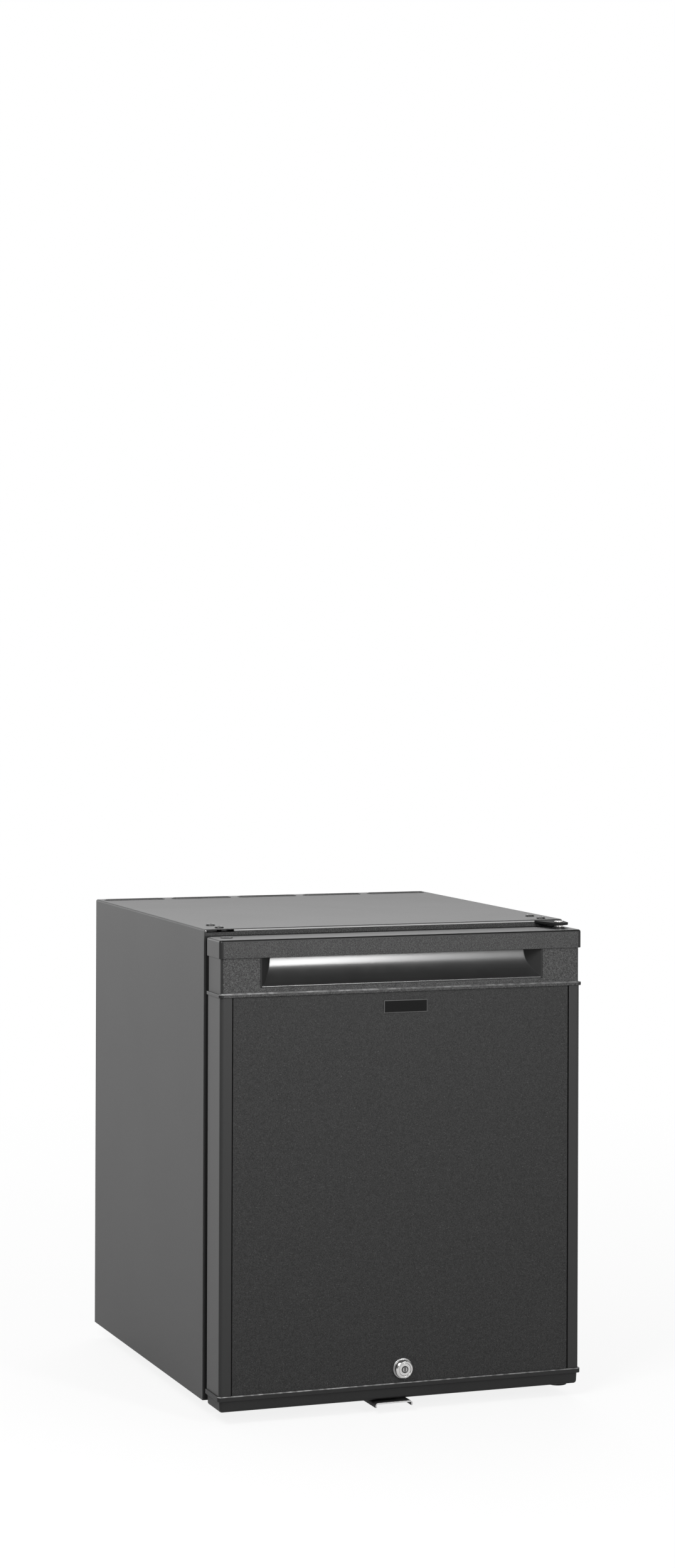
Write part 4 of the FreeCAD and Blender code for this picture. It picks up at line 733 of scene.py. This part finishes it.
def badge_plate():
    """A plain raised plate on the panel, under the top cap."""
    size = (BADGE_WIDTH, BADGE_THICKNESS, BADGE_HEIGHT)
    centre = (BADGE_OFF_CENTRE, panel_low.y - BADGE_THICKNESS / 2, BADGE_MIDDLE_HEIGHT)
    shape = bmesh.new()
    bmesh.ops.create_cube(shape, size=1.0)
    bmesh.ops.scale(shape, vec=size, verts=shape.verts)
    bmesh.ops.translate(shape, vec=centre, verts=shape.verts)
    bmesh.ops.bevel(shape, geom=shape.edges, offset=BADGE_EDGE, offset_type="OFFSET",
                    segments=BADGE_EDGE_SEGMENTS, profile=0.5, affect="EDGES", material=-1)
    as_piece("badge_plate", shape, "door", "plain_black_plastic", badge_black())


def lock_flange():
    """A thin rolled collar round the lock, where it lies on the panel."""
    inner = (lock_high.x - lock_low.x) / 2 - FLANGE_HEIGHT
    rim = [(FLANGE_RADIUS - inward * FLANGE_HEIGHT, rise * FLANGE_HEIGHT) for inward, rise in FLANGE_RIM]
    section = [(inner, 0.0), *rim, (inner, FLANGE_HEIGHT)]
    centre = Vector((LOCK_MIDDLE.x, 0, LOCK_MIDDLE.z))
    points = [centre + Vector((out, panel_low.y - rise, 0)) for out, rise in section]
    shape = bmesh.new()
    turn(shape, points, centre, (0, 1, 0), FLANGE_STEPS, closed=True)
    close_seams(shape)
    as_piece("lock_flange", shape, "door", "lock_chrome", zinc_plate("flange_chrome", 0.40, 0.0, 0.0008))


def seal_bellows():
    """The seal's outer fold, which fills the slit between the door and the frame."""
    seal_low, seal_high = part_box("door_gasket")
    liner_low, liner_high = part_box("door_liner")
    outer = (liner_low.x + BELLOWS_INSET, seal_high.x,
             liner_low.z + BELLOWS_INSET, liner_high.z - BELLOWS_INSET)
    inner = (seal_low.x, seal_high.x - BELLOWS_INSET, seal_low.z, seal_high.z - BELLOWS_INSET)
    depth = seal_high.y - BELLOWS_CLEARANCE - seal_low.y
    shape = bmesh.new()
    edges = []
    for left, right, low, high in (outer, inner):
        corners = ((left, low), (right, low), (right, high), (left, high))
        loop = [shape.verts.new((x, seal_low.y, z)) for x, z in corners]
        edges += [shape.edges.new(pair) for pair in zip(loop, loop[1:] + loop[:1])]
    ring = bmesh.ops.bridge_loops(shape, edges=edges)["faces"]
    pushed = bmesh.ops.extrude_face_region(shape, geom=ring)["geom"]
    back = [part for part in pushed if isinstance(part, bmesh.types.BMVert)]
    bmesh.ops.translate(shape, vec=(0, depth, 0), verts=back)
    bmesh.ops.recalc_face_normals(shape, faces=shape.faces)
    as_piece("seal_bellows", shape, "door", "seal")


def solid_boxes(node):
    """Low and high corners of each separate solid of a node."""
    shape = merged_copy(node)
    waiting = set(shape.verts)
    boxes = []
    for start in shape.verts:
        if start not in waiting:
            continue
        waiting.discard(start)
        front = [start]
        places = []
        while front:
            vert = front.pop()
            places.append(vert.co.copy())
            neighbours = {edge.other_vert(vert) for edge in vert.link_edges} & waiting
            waiting -= neighbours
            front.extend(neighbours)
        axes = list(zip(*places))
        boxes.append((Vector([min(axis) for axis in axes]), Vector([max(axis) for axis in axes])))
    shape.free()
    return boxes


def cross_screws(node, up):
    """Pan-head screws in place of a node's plain ones, with thin black bars on their crowns as painted shade
    of the cross recesses, turned by their place; up is 1 or -1.
    """
    shape = bmesh.new()
    painted_cross_shade = bmesh.new()
    for low, high in solid_boxes(node):
        top, end = (high.z, low.z) if up > 0 else (low.z, high.z)
        x = (low.x + high.x) / 2
        y = (low.y + high.y) / 2
        radius = (high.x - low.x) / 2
        shank = SHANK_SHARE * radius
        head = [(share * radius, top - up * below * HEAD_HEIGHT) for share, below in HEAD_OUTLINE]
        section = [(0.0, end), (shank, end), (shank, top - up * HEAD_HEIGHT), *head]
        turn(shape, [(x + out, y, z) for out, z in section], (x, y, 0), (0, 0, 1), SCREW_STEPS)
        # Thin black bars on the crown, as painted shade of the cross recess.
        for size in ((CROSS_LENGTH, CROSS_WIDTH), (CROSS_WIDTH, CROSS_LENGTH)):
            bar = bmesh.ops.create_cube(painted_cross_shade, size=1.0)["verts"]
            bmesh.ops.scale(painted_cross_shade, vec=(*size, CROSS_LIFT * 2), verts=bar)
            bmesh.ops.rotate(painted_cross_shade, matrix=Matrix.Rotation(x * CROSS_TURN_PER_METRE, 3, "Z"), verts=bar)
            bmesh.ops.translate(painted_cross_shade, vec=(x, y, top), verts=bar)
    close_seams(shape)
    heads = as_piece(node + "_heads", shape, bodies[node], slots[node])
    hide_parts(node)
    as_piece(node + "_crosses", painted_cross_shade, bodies[node], slots[node], finishes["seal"])


def pale_floor():
    """A floor that runs out to the horizon, white where it is seen but for the shadow."""
    finish = Finish("pale_floor")
    camera, glossy = finish.rays("Is Camera Ray", "Is Glossy Ray")
    tone = finish.blend(glossy, grey(FLOOR_TONE), grey(FLOOR_TONE_IN_GLOSS))
    material = finish.done(base_color=tone, roughness=FLOOR_ROUGHNESS)
    plain = Signal(finish, finish.shader.outputs["BSDF"])
    glow = finish.add("ShaderNodeEmission", {}, {"Color": grey(1.0), "Strength": 1.0})
    x, y = finish.axes()[:2]
    distance = (x * x + y * y) ** 0.5
    share = (camera * distance.ramp(NEAR_FLOOR, FAR_FLOOR, NEAR_GLOW, 1.0)
             + glossy * distance.ramp(NEAR_FLOOR, FAR_FLOOR, NEAR_GLOW_IN_GLOSS, 1.0))
    mixed = finish.add("ShaderNodeMixShader", {}, {0: share, 1: plain, 2: glow})
    finish.feed(finish.tree.nodes["Material Output"], {"Surface": mixed})
    shape = bmesh.new()
    bmesh.ops.create_grid(shape, x_segments=1, y_segments=1, size=FLOOR_REACH)
    floor = as_object("floor", shape, material)


def studio_world():
    """Pale surroundings: white to the camera, in gloss darker in front, to the left and overhead."""
    world = bpy.data.worlds.new("studio")
    world.use_nodes = True
    sheet = Sheet(world.node_tree)
    across, depth, height = sheet.parts(sheet.add("ShaderNodeTexCoord", {}, {}, "Generated"))
    camera, glossy, through = sheet.rays("Is Camera Ray", "Is Glossy Ray", "Is Transmission Ray")
    in_gloss = (depth.ramp(*FRONT_TO_REAR, FRONT_LEVEL, REAR_LEVEL)
                * across.ramp(*LEFT_TO_MIDDLE, LEFT_SHARE, 1.0)
                * height.ramp(*LEVEL_TO_OVERHEAD, 1.0, OVERHEAD_SHARE))
    seen = camera + (1 - camera) * in_gloss
    direct = (camera + glossy + through).ramp(0.0, 1.0)
    level = direct * seen + (1 - direct) * AMBIENT_LEVEL
    sheet.feed(world.node_tree.nodes["Background"], {"Color": grey(1.0), "Strength": level})
    bpy.context.scene.world = world


def soft_box(name, place, aim, width, height, power):
    """A rectangular studio lamp that looks at a point."""
    lamp = bpy.data.lights.new(name, "AREA")
    lamp.shape = "RECTANGLE"
    lamp.size = width
    lamp.size_y = height
    lamp.energy = power
    holder = bpy.data.objects.new(name, lamp)
    holder.location = place
    holder.rotation_euler = (Vector(aim) - Vector(place)).to_track_quat("-Z", "Y").to_euler()
    holder.visible_camera = False
    bpy.context.scene.collection.objects.link(holder)


def photograph_camera():
    """The camera at the photograph's angle, its frame shifted below the lens axis."""
    lens = bpy.data.cameras.new("photograph")
    lens.sensor_width = SENSOR_SIDE
    lens.lens = FOCAL_PIXELS / IMAGE_HEIGHT_PIXELS * SENSOR_SIDE
    lens.shift_y = -AXIS_ABOVE_CENTRE_PIXELS / IMAGE_HEIGHT_PIXELS
    lens.clip_end = SIGHT_LIMIT
    camera = bpy.data.objects.new("photograph", lens)
    aim = Matrix.Rotation(-CAMERA_YAW, 4, "Z") @ Matrix.Rotation(math.pi / 2, 4, "X")
    camera.matrix_world = Matrix.Translation(CAMERA_PLACE) @ aim @ Matrix.Rotation(CAMERA_ROLL, 4, "Z")
    bpy.context.scene.collection.objects.link(camera)
    bpy.context.scene.camera = camera


for width, nodes in EDGE_ROUNDINGS.items():
    for node in nodes:
        softened(node, width)
badge_plate()
lock_flange()
seal_bellows()
for node, up in SCREWS_AND_HEAD_SIDES.items():
    cross_screws(node, up)

pale_floor()
studio_world()
for name, settings in LAMPS.items():
    soft_box(name, *settings)
photograph_camera()
bpy.context.scene.view_settings.view_transform = "Standard"
